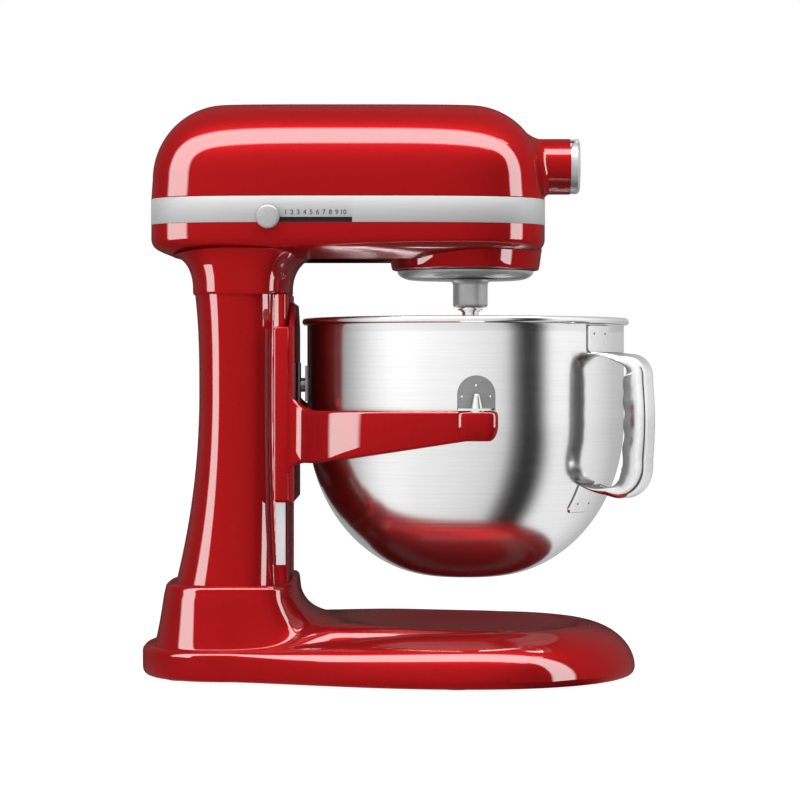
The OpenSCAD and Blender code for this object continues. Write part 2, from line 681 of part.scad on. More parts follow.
module hub_hinge_block() {
  color([0.75, 0.76, 0.78]) difference() {
    union() {
      intersection() {
        along_x(hub_front, hub_z) cylinder(r = hub_r - 0.4, h = cover_t);
        box(hub_front, hinge_x - 0.3, -hub_r, hub_r, hinge_z + 0.2, hub_z + hub_r);
      }
      both_sides() along_y(hinge_x, 5, hinge_z) cylinder(r = hinge_r, h = 3);
    }
    along_y(hinge_x, -5, hinge_z) cylinder(r = hinge_r + slide_gap, h = 10);
    along_y(hinge_x, -20, hinge_z) cylinder(r = 1, h = 40);
  }
}
module hub_hinge_pin() {
  color([0.6, 0.6, 0.62]) along_y(hinge_x, -8, hinge_z) cylinder(r = 1, h = 16);
}
// The cover is bevelled behind its hinge, so that it clears a shank in the bore when it is open.
module hub_cover() {
  color([0.75, 0.76, 0.78]) difference() {
    union() {
      intersection() {
        along_x(hub_front + slide_gap / 2, hub_z) union() {
          cylinder(r = hub_r - 0.4, h = cover_t - 2);
          translate([0, 0, cover_t - 2]) cylinder(r1 = hub_r - 0.4, r2 = hub_r - 2, h = 1.9);
        }
        box(hub_front, hub_front + cover_t, -hub_r, hub_r, hub_z - hub_r, hinge_z - 0.2);
      }
      along_y(hinge_x, -4.8, hinge_z) cylinder(r = hinge_r, h = 9.6);
    }
    both_sides() along_y(hinge_x, 4.8, hinge_z) cylinder(r = hinge_r + slide_gap, h = 20);
    along_y(hinge_x, -20, hinge_z) cylinder(r = 1 + run_gap, h = 40);
    translate([hinge_x, 0, hinge_z]) rotate([0, lid_open - 90, 0])
      box(-cover_t * 2, -hinge_r - 0.05, -hub_r, hub_r, -cover_t * 3, cover_t);
  }
}
module hub_knob() {
  color([0.1, 0.1, 0.1]) along_y(knob_hub_x, hub_r + slide_gap, hub_z) difference() {
    union() {
      cylinder(r = 4.5, h = 4);
      translate([0, 0, 4]) linear_extrude(9) polygon(gear_outline(12, 7.6, 0.5, 0.6, 0.5));
    }
    translate([0, 0, -1]) cylinder(r = 3, h = 9);
  }
}
module hub_knob_screw() {
  color([0.7, 0.7, 0.72]) along_y(knob_hub_x, hub_bore_r, hub_z) cylinder(r = 3, h = hub_r - hub_bore_r + 8 + slide_gap);
}

// ---- speed control ----
speed_z = band_z + slot_h / 2;
module speed_knob() {
  color([0.72, 0.73, 0.74]) {
    along_y(-speed_x, -head_w / 2 - slide_gap, speed_z + 2) rotate([180, 0, 0]) {
      cylinder(r = speed_knob_r, h = 4);
      translate([0, 0, 4]) cylinder(r1 = speed_knob_r, r2 = speed_knob_r - 2, h = 1.5);
    }
    box(-speed_x - 2, -speed_x + 2, -head_w / 2 - slide_gap - 0.5, slide_y,
      band_z + slide_gap, band_z + slot_h - slide_gap);
  }
}
module speed_slide() {
  color([0.05, 0.05, 0.05]) box(-speed_x - 8, -speed_x + 62, slide_y, slide_y + slide_t,
    band_z + slide_gap, band_z + window_h - slide_gap);
}

// ---- bowl support and lift ----
// Side view of an arm with its gusset: flat top, rising underside, hollow curve up the flange.
function arm_side() = let (x0 = -plate_back - 0.01, r = 21)
  concat([[x0, arm_top - arm_root_h], [pin_x + 14, arm_top - arm_tip_h], [pin_x + 14, arm_top], [x0 + plate_t + r, arm_top]],
    [for (a = [15:15:90]) [x0 + plate_t + r - r * sin(a), arm_top + r - r * cos(a)]], [[x0, arm_top + r]]);

module arm_profile() {
  translate([0, base_w, 0]) rotate([90, 0, 0]) linear_extrude(2 * base_w) polygon(arm_side());
}

// Arm seen from above: it turns out sharply from the flange, then follows a quarter ellipse to the pin.
function arm_curve(d) = [for (a = [0:7.5:90])
  [pin_x - (arm_reach - d) * cos(a), -arm_bend_y - (arm_out_y - arm_bend_y - d) * sin(a)]];
function arm_plan() = let (outer = arm_curve(0), inner = arm_curve(arm_t), n = len(inner)) concat(
  [[outer[0][0], -flange_in]], outer, [for (i = [1:n]) inner[n - i]], [[inner[0][0], -flange_in]]);

module bowl_support() {
  color([0.72, 0.02, 0.05]) {
    difference() {
      intersection() {
        arm_profile();
        union() {
          both_sides() translate([0, 0, support_bottom]) linear_extrude(support_top) polygon(arm_plan());
          both_sides() box(-plate_back, -plate_back + 26, flange_in - 2, flange_out, support_bottom, support_top);
        }
      }
      translate([bowl_x, 0, 99]) cylinder(r = arm_r, h = 160);
    }
    both_sides() translate([pin_x, pin_y, arm_top - arm_tip_h]) {
      translate([0, 0, 4]) linear_extrude(arm_tip_h - 4) pad_outline(0);
      linear_extrude(4) pad_outline(2);
    }
    box(-plate_back, -plate_back + plate_t, -flange_out, flange_out,
      support_bottom, arm_top + 14);
    translate([-plate_back, 0, 0]) rotate([90, 0, 90]) linear_extrude(plate_t) polygon([
      [-flange_out, arm_top + 10], [flange_out, arm_top + 10],
      [flange_out, support_top], [34, support_top + 18], [-34, support_top + 18],
      [-flange_out, support_top]]);
    both_sides() box(rail_x - 2, -plate_back + 1, flange_in, flange_out, support_bottom, support_top);
  }
}
module pad_outline(d) {
  offset(r = 5 - d) square([17, 3], center = true);
  offset(delta = -d) square([27, 13 - 4], center = true);
}
module bowl_pins() {
  color([0.8, 0.8, 0.82]) both_sides() translate([pin_x, pin_y, arm_top]) {
    cylinder(r = bowl_pin_r, h = 4);
    translate([0, 0, 4]) cylinder(r1 = bowl_pin_r, r2 = bowl_pin_r / 2, h = bowl_pin_h - 4);
  }
}
module latch_spring() {
  x = -plate_back + plate_t;
  color([0.8, 0.8, 0.82]) {
    box(x, x + 2.2, -9, 9, arm_top + 1, arm_top + 5);
    both_sides() translate([x + 1.2, 7.2, arm_top + 4]) cylinder(r = 1.2, h = 30);
  }
}
yoke_x0 = lift_x - crank_r - crank_pin_r - 4.2;
yoke_x1 = lift_x - crank_r * cos(45) + crank_pin_r + free_gap;
module lift_yoke() {
  z = lift_z + lift_travel / 2;
  half = crank_pin_r + free_gap;
  color([0.55, 0.55, 0.57]) difference() {
    box(yoke_x0, -plate_back, tongue_y0, tongue_y0 + tongue_t, z - half - 4.5, z + half + 4.5);
    box(yoke_x0 + 3, yoke_x1, tongue_y0 - 1, tongue_y0 + tongue_t + 1, z - half, z + half);
  }
}
module lift_shaft() {
  color([0.7, 0.7, 0.72]) along_y(lift_x, crank_y0, lift_z) cylinder(r = lift_shaft_r, h = lever_y0 + 8 - crank_y0);
}
module lift_crank() {
  color([0.55, 0.55, 0.57]) {
    along_y(lift_x, crank_y0, lift_z) linear_extrude(crank_t) difference() {
      union() {
        circle(r = 10.5);
        rotate(-135) translate([6, -6]) square([crank_r - 6, 12]);
        rotate(-135) translate([crank_r, 0]) circle(r = 7);
      }
      circle(r = lift_shaft_r);
    }
    along_y(lift_x - crank_r * cos(45), tongue_y0 - 0.6, lift_z + crank_r * sin(45))
      cylinder(r = crank_pin_r, h = crank_y0 + 2 - tongue_y0 + 0.6);
  }
}
module lift_lever() {
  color([0.75, 0.76, 0.78]) difference() {
    union() {
      along_y(lift_x, lever_y0, lift_z) cylinder(r = 11, h = 9);
      box(lift_x - 5.5, lift_x + 5.5, lever_y0 + 1, lever_y0 + 7, lift_z, lift_z + lever_len);
      along_y(lift_x, lever_y0 + 1, lift_z + lever_len) cylinder(r = 5.5, h = 6);
    }
    along_y(lift_x, lever_y0 - 1, lift_z) cylinder(r = lift_shaft_r, h = 9);
    along_y(lift_x, lever_y0, lift_z + lever_len) cylinder(r = 2.5, h = 9);
  }
}
module lift_knob() {
  color([0.1, 0.1, 0.1]) along_y(lift_x, lever_y0 + 1, lift_z + lever_len) {
    cylinder(r = 2.5, h = 6.01);
    translate([0, 0, 6]) rotate_extrude() polygon([[0, 0], [6, 0], [7.5, 2], [8.5, 14], [8, 19], [5.5, 21.5], [0, 22]]);
  }
}

// ---- bowl ----
bowl_top = bowl_z + bowl_h;
// Half section of the bowl, moved inwards by t: flat bottom, quarter ellipse, straight wall.
function bowl_section(t, top) = concat([[0, bowl_z + t]],
  [for (a = [0:6:90]) [bowl_flat_r + (bowl_r - bowl_flat_r - t) * sin(a), bowl_z + bowl_round_h
    - (bowl_round_h - t) * cos(a)]], [[bowl_r - t, top], [0, top]]);

module bowl_solid() { translate([bowl_x, 0, 0]) rotate_extrude($fn = 144) polygon(bowl_section(0, bowl_top)); }

module bowl() {
  color([0.78, 0.78, 0.8]) translate([bowl_x, 0, 0]) rotate_extrude($fn = 144) {
    difference() {
      polygon(bowl_section(0, bowl_top));
      polygon(bowl_section(bowl_wall, bowl_top + 5));
    }
    difference() {
      translate([bowl_r + rim_r - bowl_wall, bowl_top]) circle(r = rim_r, $fn = 24);
      translate([0, bowl_top - 20]) square([bowl_r - bowl_wall, 40]);
    }
  }
}
module bowl_brackets() {
  t = 1.6;
  z0 = arm_top + 0.4;
  color([0.7, 0.7, 0.72]) both_sides() difference() {
    union() {
      intersection() {
        translate([bowl_x, 0, z0]) difference() {
          cylinder(r = bowl_r + t, h = 30, $fn = 144);
          translate([0, 0, -1]) cylinder(r = bowl_r, h = 32, $fn = 144);
        }
        union() {
          along_y(pin_x, 60, z0 + 11) cylinder(r = 13.5, h = 80);
          box(pin_x - 13.5, pin_x + 13.5, 60, 140, z0, z0 + 11);
        }
      }
      box(pin_x - 13, pin_x + 13, bowl_r - 12, pin_y + bowl_pin_r + 2, z0, z0 + t);
      translate([pin_x, pin_y, z0]) cylinder(r1 = 8, r2 = 6.5, h = 5);
    }
    translate([pin_x, pin_y, z0 - 1]) cylinder(r = bowl_pin_r + slide_gap, h = 20);
    bowl_solid();
  }
}
module bowl_rear_bracket() {
  color([0.7, 0.7, 0.72]) {
    translate([bowl_x, 0, arm_top + 6]) rotate([0, 0, 175]) rotate_extrude(angle = 10, $fn = 144)
      translate([bowl_r, 0]) square([1.6, 26]);
    along_x(bowl_x - bowl_r - 5.2, arm_top + 18) cylinder(r = 5.2, h = 4.2);
  }
}
grip_r = bowl_r + handle_gap + handle_deep;
handle_z0 = bowl_top - 126;
handle_z1 = bowl_top - 22.5;
handle_ends_t = 2.5;
handle_sheet = 2;
tab_high = 6.2;
tab_low = 7.4;
module rounded_box_2d(x0, x1, z0, z1, r) {
  translate([x0 + r, z0 + r]) offset(r = r, $fn = 32) square([x1 - x0 - 2 * r, z1 - z0 - 2 * r]);
}
// Side view of the handle: a rounded loop, thin at both ends and deep at the grip.
module handle_side(sheet) {
  difference() {
    rounded_box_2d(70, grip_r - sheet, handle_z0 + sheet, handle_z1 - sheet, 22 - sheet);
    rounded_box_2d(60, grip_r - handle_deep, handle_z0 + handle_ends_t, handle_z1 - handle_ends_t, 25);
    if (sheet > 0) square([grip_r - handle_deep - 12, 500]);
  }
}
module bowl_handle() {
  color([0.75, 0.75, 0.77]) difference() {
    translate([bowl_x, 0, 0]) rotate([0, 0, handle_angle]) {
      difference() {
        rotate([90, 0, 0]) translate([0, 0, -handle_w / 2]) linear_extrude(handle_w) handle_side(0);
        rotate([90, 0, 0]) translate([0, 0, -handle_w / 2 + handle_sheet])
          linear_extrude(handle_w - 2 * handle_sheet) handle_side(handle_sheet);
        for (i = [0:3]) translate([grip_r - handle_deep - 13.5, 0, handle_z0 + 28 + i * 16])
          rotate([90, 0, 0]) cylinder(r = 15, h = handle_w + 2, center = true);
      }
      rotate([0, 0, -tab_high]) rotate_extrude(angle = 2 * tab_high, $fn = 144)
        translate([bowl_r, handle_z1 - 2]) square([1.8, bowl_top - handle_z1 - 3]);
      rotate([0, 0, -tab_low]) rotate_extrude(angle = 2 * tab_low, $fn = 144) intersection() {
        translate([bowl_flat_r + 60, handle_z0 - 12]) square([50, 16]);
        offset(delta = 1.8) polygon(bowl_section(0, bowl_top));
      }
    }
    bowl_solid();
  }
}

base();
feet();
base_bolts();
column();
guide_rails();
cord_grommet();
gearcase();
head_bolts();
head_cover();
trim_band();
slot_liner();
speed_board();
motor_saddles();
motor_stator();
shaft_bearings();
ring_gear();
hub_collar();
hub_bush();
hub_hinge_block();
hub_hinge_pin();
lift_bush();
motor_rotor();
motor_fan();
motor_pinion();
planetary_housing();
centre_shaft();
crown_gear();
beater_bushes();
beater_shaft();
beater_pin();
beater_pinion();
beater_collar();
hub_drive_shaft();
hub_gear();
hub_cover();
hub_knob();
hub_knob_screw();
speed_knob();
speed_slide();
bowl_support();
bowl_pins();
latch_spring();
lift_yoke();
lift_shaft();
lift_crank();
lift_lever();
lift_knob();
bowl();
bowl_brackets();
bowl_rear_bracket();
bowl_handle();
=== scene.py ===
"""Stand mixer with a bowl lift, dressed over its working solids. Metres, +Z up, +X to the hub."""

import bmesh
import bpy
import numpy as np
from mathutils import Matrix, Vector


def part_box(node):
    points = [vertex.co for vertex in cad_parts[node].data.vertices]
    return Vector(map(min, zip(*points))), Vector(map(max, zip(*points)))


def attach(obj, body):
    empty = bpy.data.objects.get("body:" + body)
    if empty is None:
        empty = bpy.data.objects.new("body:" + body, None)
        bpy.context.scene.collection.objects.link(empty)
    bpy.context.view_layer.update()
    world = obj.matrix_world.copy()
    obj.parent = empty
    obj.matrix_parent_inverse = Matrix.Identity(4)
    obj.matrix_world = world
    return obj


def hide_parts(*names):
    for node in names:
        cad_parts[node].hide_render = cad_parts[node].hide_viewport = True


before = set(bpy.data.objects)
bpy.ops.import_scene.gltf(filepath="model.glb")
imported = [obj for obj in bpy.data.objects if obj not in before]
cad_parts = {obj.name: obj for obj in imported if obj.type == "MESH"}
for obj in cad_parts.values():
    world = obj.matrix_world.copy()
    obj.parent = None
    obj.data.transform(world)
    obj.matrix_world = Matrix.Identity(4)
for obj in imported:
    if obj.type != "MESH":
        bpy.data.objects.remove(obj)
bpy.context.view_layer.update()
MM = 0.001

# ---- Camera, floor and studio light ----
# A long lens looks level at the mixer's left side from a little above its middle. Three softboxes light
# it. An arch of light round the mixer is what the clear lacquer mirrors, and the studio's wall, bright
# with one dark flag, is what the satin metals show.
bpy.context.scene.view_settings.view_transform = "Standard"
lens_distance = 2.150
lens_height = 0.217


def add_object(name, data):
    """A new object at the origin, linked to the scene."""
    made = bpy.data.objects.new(name, data)
    bpy.context.scene.collection.objects.link(made)
    return made


camera_data = bpy.data.cameras.new("camera")
camera_data.sensor_width = 36
camera_data.lens = 131.8
camera_data.shift_y = -0.0275
camera = add_object("camera", camera_data)
camera.location = (0, -lens_distance, lens_height)
camera.rotation_euler = (np.pi / 2, 0, 0)
bpy.context.scene.camera = camera


def softbox(name, place, aim, width, height, radiance):
    """A rectangular lamp of the given radiance at place, facing the point aim."""
    lamp = bpy.data.lights.new(name, "AREA")
    lamp.shape = "RECTANGLE"
    lamp.size = width
    lamp.size_y = height
    lamp.energy = radiance * np.pi * width * height
    lamp_object = add_object(name, lamp)
    lamp_object.location = place
    lamp_object.rotation_euler = (Vector(aim) - Vector(place)).to_track_quat("-Z", "Y").to_euler()
    lamp_object.visible_camera = False
    return lamp_object


lamp_light = 3.3
softbox("top_softbox", (0, -0.55, 1.30), (0, -0.549, 0), 1.9, 0.60, 1.7 * lamp_light)
left_box = softbox("left_softbox", (-1.05, -0.48, 0.62), (0, -0.479, 0.62), 0.70, 1.10, lamp_light)
right_box = softbox("right_softbox", (1.05, -0.46, 0.62), (0, -0.459, 0.62), 0.42, 1.10, lamp_light)
left_box.visible_glossy = right_box.visible_glossy = False


def calculated(tree, operation, first, second):
    """Output of a math node on two values, each of them a socket or a number."""
    node = tree.nodes.new("ShaderNodeMath")
    node.operation = operation
    for socket, value in zip(node.inputs, (first, second)):
        if isinstance(value, (int, float)):
            socket.default_value = value
        else:
            tree.links.new(value, socket)
    return node.outputs[0]


def mapped(tree, value, start, end, low, high):
    """A socket's value stretched from the range start to end onto low to high, and held beyond it."""
    node = tree.nodes.new("ShaderNodeMapRange")
    ends = {"From Min": start, "From Max": end, "To Min": low, "To Max": high}
    for name, number in ends.items():
        node.inputs[name].default_value = number
    tree.links.new(value, node.inputs["Value"])
    return node.outputs["Result"]


def glowing(tree, strength, colour=None):
    """Emission shader with a strength, and a colour, that are sockets or plain values."""
    node = tree.nodes.new("ShaderNodeEmission")
    for socket, value in ((node.inputs["Strength"], strength), (node.inputs["Color"], colour)):
        if isinstance(value, bpy.types.NodeSocket):
            tree.links.new(value, socket)
        elif value is not None:
            socket.default_value = value
    return node.outputs[0]


def diffuse(tree, grey):
    """Plain white paper's shader, of the given grey."""
    node = tree.nodes.new("ShaderNodeBsdfDiffuse")
    node.inputs["Color"].default_value = (grey, grey, grey, 1)
    return node.outputs[0]


room_dark = (0.030, 0.004, 0.004, 1)
second_bounce_share = 0.3
wall_lights = [
    (-180, 0.50), (-125, 0.42), (-101, 0.38), (-91, 0.58), (-82, 0.80), (-74, 1.02), (-66, 1.18),
    (-56, 1.32), (-42, 1.32), (-25, 1.22), (0, 1.11), (20, 0.98), (28, 0.84), (32, 0.48), (36, 0.16),
    (42, 0.03), (51, 0.04), (55, 0.28), (61, 1.02), (66, 1.20), (92, 1.14), (130, 0.70), (180, 0.50),
]


def studio_wall(tree, direction, first_bounce):
    """Brightness round the studio: the compass angle of the direction, from the lens towards +X,
    read off the wall's list of (degrees, brightness), dimmer from the bounce after the first."""
    nodes, links = tree.nodes, tree.links
    parts = nodes.new("ShaderNodeSeparateXYZ")
    links.new(direction, parts.inputs[0])
    towards = calculated(tree, "MULTIPLY", parts.outputs["Y"], -1)
    compass = calculated(tree, "ARCTAN2", parts.outputs["X"], towards)
    ramp = nodes.new("ShaderNodeValToRGB")
    elements = ramp.color_ramp.elements
    while len(elements) < len(wall_lights):
        elements.new(0.5)
    for element, (degrees, bright) in zip(elements, wall_lights):
        element.position = (degrees + 180) / 360
        element.color = (bright, bright, bright, 1)
    links.new(mapped(tree, compass, -np.pi, np.pi, 0, 1), ramp.inputs["Fac"])
    bounces = nodes.new("ShaderNodeLightPath").outputs["Ray Depth"]
    faded = nodes.new("ShaderNodeVectorMath")
    faded.operation = "SCALE"
    links.new(ramp.outputs["Color"], faded.inputs[0])
    fading = mapped(tree, bounces, first_bounce, first_bounce + 1, 1, second_bounce_share)
    links.new(fading, faded.inputs["Scale"])
    return faded.outputs[0]


def blended(tree, factor, first, second):
    """Colour mixed from first to second as the factor runs from 0 to 1; each is a socket or a colour."""
    node = tree.nodes.new("ShaderNodeMixRGB")
    for socket, value in zip(node.inputs, (factor, first, second)):
        if isinstance(value, tuple):
            socket.default_value = value
        else:
            tree.links.new(value, socket)
    return node.outputs[0]


world = bpy.data.worlds.new("studio")
bpy.context.scene.world = world
world.use_nodes = True
tree = world.node_tree
rays = tree.nodes.new("ShaderNodeLightPath").outputs
seen = calculated(tree, "MAXIMUM", rays["Is Camera Ray"], rays["Is Transmission Ray"])
view = tree.nodes.new("ShaderNodeTexCoord").outputs["Generated"]
ambient = blended(tree, rays["Is Glossy Ray"], (0.26, 0.26, 0.26, 1), studio_wall(tree, view, 2))
lacquer_view = blended(tree, rays["Is Singular Ray"], ambient, room_dark)
backdrop = blended(tree, seen, lacquer_view, (1, 1, 1, 1))
tree.links.new(backdrop, tree.nodes["Background"].inputs["Color"])


def stage_mesh(name, points, faces, material):
    """A piece of the studio, which isn't part of the mixer."""
    mesh = bpy.data.meshes.new(name)
    mesh.from_pydata(np.asarray(points).tolist(), [], np.asarray(faces).tolist())
    mesh.materials.append(material)
    made = add_object(name, mesh)
    return made


def shown_to(tree, socket, others, chosen):
    """Mixes two shaders: chosen for the rays that the socket names, others for the rest."""
    either = tree.nodes.new("ShaderNodeMixShader")
    for place, source in zip(either.inputs, (socket, others, chosen)):
        tree.links.new(source, place)
    return either.outputs[0]


def stage_material(name):
    """A material with an empty node tree, whose surface isn't looked for as a lamp."""
    material = bpy.data.materials.new(name)
    material.use_nodes = True
    material.node_tree.nodes.clear()
    material.cycles.emission_sampling = "NONE"
    return material, material.node_tree, material.node_tree.nodes.new("ShaderNodeLightPath").outputs


def surfaced(tree, shader):
    """Puts the shader on the material's surface."""
    tree.links.new(shader, tree.nodes.new("ShaderNodeOutputMaterial").inputs["Surface"])


floor_white, tree, rays = stage_material("floor_white")
lifted = tree.nodes.new("ShaderNodeAddShader")
tree.links.new(diffuse(tree, 0.22), lifted.inputs[0])
tree.links.new(glowing(tree, 0.94), lifted.inputs[1])
# Painted reflection: in glossy reflections the floor glows with the studio wall's brightness round the
# mixer, and in mirror reflections with the dark room, though it is no lamp.
spot = tree.nodes.new("ShaderNodeNewGeometry").outputs["Position"]
painted_wall_glow = glowing(tree, 0.80, studio_wall(tree, spot, 1))
shader = shown_to(tree, rays["Is Glossy Ray"], diffuse(tree, 0.50), painted_wall_glow)
shader = shown_to(tree, rays["Is Singular Ray"], shader, glowing(tree, 1, room_dark))
surfaced(tree, shown_to(tree, rays["Is Camera Ray"], shader, lifted.outputs[0]))
floor_corners = [(-200, -200, 0), (200, -200, 0), (200, 200, 0), (-200, 200, 0)]
stage_mesh("floor", floor_corners, [(0, 1, 2, 3)], floor_white)


def arch_of_light(panel_light, edge=0.12):
    """A band bent round the mixer: up the left, over the top by two quarter circles and down the right.
    Its near and far rims run evenly between those of the left, the top and the right."""
    corner, left, right, top, low = 0.40, -1.0, 1.0, 1.25, 0.03
    turn = np.radians(np.linspace(0, 90, 13))
    over_left, over_right = left + corner, right - corner
    rise = top - corner
    left_turn = np.stack([over_left - corner * np.cos(turn), rise + corner * np.sin(turn)], -1)
    right_turn = np.stack([over_right + corner * np.sin(turn), rise + corner * np.cos(turn)], -1)
    line = np.vstack([[(left, low)], left_turn, right_turn, [(right, low)]])
    over = np.clip((line[:, :1] + 0.98) / 0.5, 0, 1) - np.clip((line[:, :1] - 0.48) / 0.5, 0, 1)
    ends = np.where(line[:, :1] < 0, [(-0.86, -0.12)], [(-0.72, -0.28)])
    rims = ends * (1 - over) + np.array([(-0.84, -0.22)]) * over
    y = rims[:, :1] + (rims[:, 1:] - rims[:, :1]) * np.array([0, edge, 1 - edge, 1])
    points = np.stack([np.repeat(line[:, :1], 4, 1), y, np.repeat(line[:, 1:], 4, 1)], -1)
    row, column = np.meshgrid(np.arange(len(line) - 1), np.arange(3), indexing="ij")
    first = (row * 4 + column).ravel()
    faces = np.stack([first, first + 1, first + 5, first + 4], -1)
    glow, tree, rays = stage_material("arch_glow")
    rim = tree.nodes.new("ShaderNodeAttribute")
    rim.attribute_name = "bright"
    level = calculated(tree, "MULTIPLY", rim.outputs["Fac"], panel_light)
    first_mirror = calculated(tree, "LESS_THAN", rays["Ray Depth"], 1.5)
    light = glowing(tree, calculated(tree, "MULTIPLY", level, first_mirror))
    clear = tree.nodes.new("ShaderNodeBsdfTransparent").outputs[0]
    surfaced(tree, shown_to(tree, rays["Is Singular Ray"], clear, light))
    arch = stage_mesh("arch", points.reshape(-1, 3), faces, glow)
    bright = arch.data.attributes.new("bright", "FLOAT", "POINT")
    bright.data.foreach_set("value", np.tile([0.02, 1, 1, 0.02], len(line)).astype(np.float32))
    arch.visible_camera = False
    arch.visible_shadow = False


arch_of_light(3.3)

# ---- Base ----
# One enamelled aluminium casting: a foot plate with a shallow round well under the bowl, and behind it
# a pedestal that flares up to a socket for the column. It stands on rubber feet, bolted from below.
base_low, base_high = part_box("base")
bowl_low, bowl_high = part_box("bowl")
column_low, column_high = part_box("column")
bowl_axis_x = (bowl_low.x + bowl_high.x) / 2
pedestal_x = -118 * MM
pedestal_back, pedestal_front, pedestal_half = -172 * MM, -73 * MM, 72 * MM
pedestal_top = 69 * MM
pedestal_lean, pedestal_lip = 1.2 * MM, 4.5 * MM
plate_top = 42 * MM
plate_side = 21.5 * MM
plate_settles = 13 * MM
shoulder_width, shoulder_growth = 42 * MM, 55 * MM
flare_width, flare_growth = 46 * MM, 92 * MM
well_radius, well_depth, well_softness = 92 * MM, 16 * MM, 1.3 * MM


def full_turn(count):
    """Angles at even steps round a full circle, from 0."""
    return np.linspace(0, 2 * np.pi, count, endpoint=False)


def sweep(start, end, count):
    """Angles in radians from start to end degrees."""
    return np.radians(np.linspace(start, end, count))


def power(value, exponent):
    """Signed power, which squares off the corners of an ellipse."""
    return np.sign(value) * np.abs(value) ** exponent


def smoothstep(value, start, end):
    """0 before start, 1 after end and an S-curve between them."""
    t = np.clip((value - start) / (end - start), 0, 1)
    return t * t * (3 - 2 * t)


def squared_oval(back, front, middle, half, back_power, front_power, angles):
    """Closed outline from back to front, widest at middle: two half ellipses, each with its power."""
    cosine = np.cos(angles)
    rear = cosine < 0
    reach = np.where(rear, middle - back, front - middle)
    exponent = 2 / np.where(rear, back_power, front_power)
    x = middle + reach * power(cosine, exponent)
    return np.stack([x, half * power(np.sin(angles), exponent)], -1)


def running_length(line):
    """Length along a line from its first point to each of its points."""
    return np.concatenate([[0], np.cumsum(np.linalg.norm(np.diff(line, axis=0), axis=1))])


def even_steps(outline, count):
    """A closed outline resampled to count points at equal steps along its length."""
    closed = np.vstack([outline, outline[:1]])
    length = running_length(closed)
    at = np.linspace(0, length[-1], count, endpoint=False)
    return np.stack([np.interp(at, length, closed[:, k]) for k in range(2)], -1)


def inward(outline):
    """Unit normals of a closed counter-clockwise outline, pointing to its inside."""
    along = np.roll(outline, -1, 0) - np.roll(outline, 1, 0)
    along /= np.linalg.norm(along, axis=1, keepdims=True)
    return np.stack([-along[:, 1], along[:, 0]], -1)


def level_ring(line, z):
    """An outline at the height z, or at a height for each point."""
    return np.column_stack([line, np.broadcast_to(z, len(line))])


def solid_piece(name, points, faces, material, crease=35):
    """Mesh object at the origin from points in metres, its doubles merged and its faces turned out."""
    mesh = bpy.data.meshes.new(name)
    mesh.from_pydata(np.asarray(points).tolist(), [], faces)
    work = bmesh.new()
    work.from_mesh(mesh)
    bmesh.ops.remove_doubles(work, verts=work.verts, dist=1e-6)
    bmesh.ops.recalc_face_normals(work, faces=work.faces)
    work.to_mesh(mesh)
    work.free()
    mesh.shade_smooth()
    mesh.set_sharp_from_angle(angle=np.radians(crease))
    mesh.materials.append(material)
    return add_object(name, mesh)


def skin(name, rings, material, crease=35, closed_ends=True):
    """Skin over rings, an array (ring, point, xyz) closed round each ring, with a pole at each end.
    Edges sharper than crease degrees stay sharp, and the rest is smooth."""
    count, around = rings.shape[:2]
    points = rings.reshape(-1, 3)
    ring, step = np.meshgrid(np.arange(count - 1), np.arange(around), indexing="ij")
    here = ring * around + step
    beside = ring * around + (step + 1) % around
    faces = np.stack([here, beside, beside + around, here + around], -1).reshape(-1, 4).tolist()
    if closed_ends:
        first, last = len(points), len(points) + 1
        points = np.vstack([points, rings[0].mean(0), rings[-1].mean(0)])
        step = np.arange(around)
        beside = (step + 1) % around
        top = (count - 1) * around
        faces += np.stack([beside, step, np.full(around, first)], -1).tolist()
        faces += np.stack([top + step, top + beside, np.full(around, last)], -1).tolist()
    return solid_piece(name, points, faces, material, crease)


def finish_material(name, **sockets):
    """A new material whose principled shader has the given values on its own sockets."""
    material = bpy.data.materials.new(name)
    material.use_nodes = True
    for socket, value in sockets.items():
        principled(material)[socket.replace("_", " ")].default_value = value
    return material


def principled(material):
    """The inputs of the material's principled shader."""
    return material.node_tree.nodes["Principled BSDF"].inputs


def noise(material, scale, stretch=(1, 1, 1), detail=4):
    """A noise texture in Object coordinates, stretched along the axes; returns its factor output."""
    nodes, links = material.node_tree.nodes, material.node_tree.links
    place = nodes.new("ShaderNodeTexCoord")
    mapping = nodes.new("ShaderNodeMapping")
    mapping.inputs["Scale"].default_value = stretch
    texture = nodes.new("ShaderNodeTexNoise")
    texture.inputs["Scale"].default_value = scale
    texture.inputs["Detail"].default_value = detail
    links.new(place.outputs["Object"], mapping.inputs["Vector"])
    links.new(mapping.outputs["Vector"], texture.inputs["Vector"])
    return texture.outputs["Fac"]


pattern_start, pattern_end = 0.3, 0.7


def spread(material, factor, low, high):
    """Drives the roughness between low and high as the pattern runs through its middle part."""
    tree = material.node_tree
    ranged = mapped(tree, factor, pattern_start, pattern_end, low, high)
    tree.links.new(ranged, principled(material)["Roughness"])


def tinted(material, factor, low, high):
    """Drives the base colour between two colours as the pattern runs through its middle part."""
    tree = material.node_tree
    ramp = tree.nodes.new("ShaderNodeValToRGB")
    ends = ((pattern_start, low), (pattern_end, high))
    for element, (position, colour) in zip(ramp.color_ramp.elements, ends):
        element.position = position
        element.color = (*colour, 1)
    tree.links.new(factor, ramp.inputs["Fac"])
    tree.links.new(ramp.outputs["Color"], principled(material)["Base Color"])


def bumped(material, factor, strength, distance):
    """Raises the surface by the pattern, at most distance metres, as seen in its shading."""
    tree = material.node_tree
    bump = tree.nodes.new("ShaderNodeBump")
    bump.inputs["Strength"].default_value = strength
    bump.inputs["Distance"].default_value = distance
    tree.links.new(factor, bump.inputs["Height"])
    tree.links.new(bump.outputs["Normal"], principled(material)["Normal"])


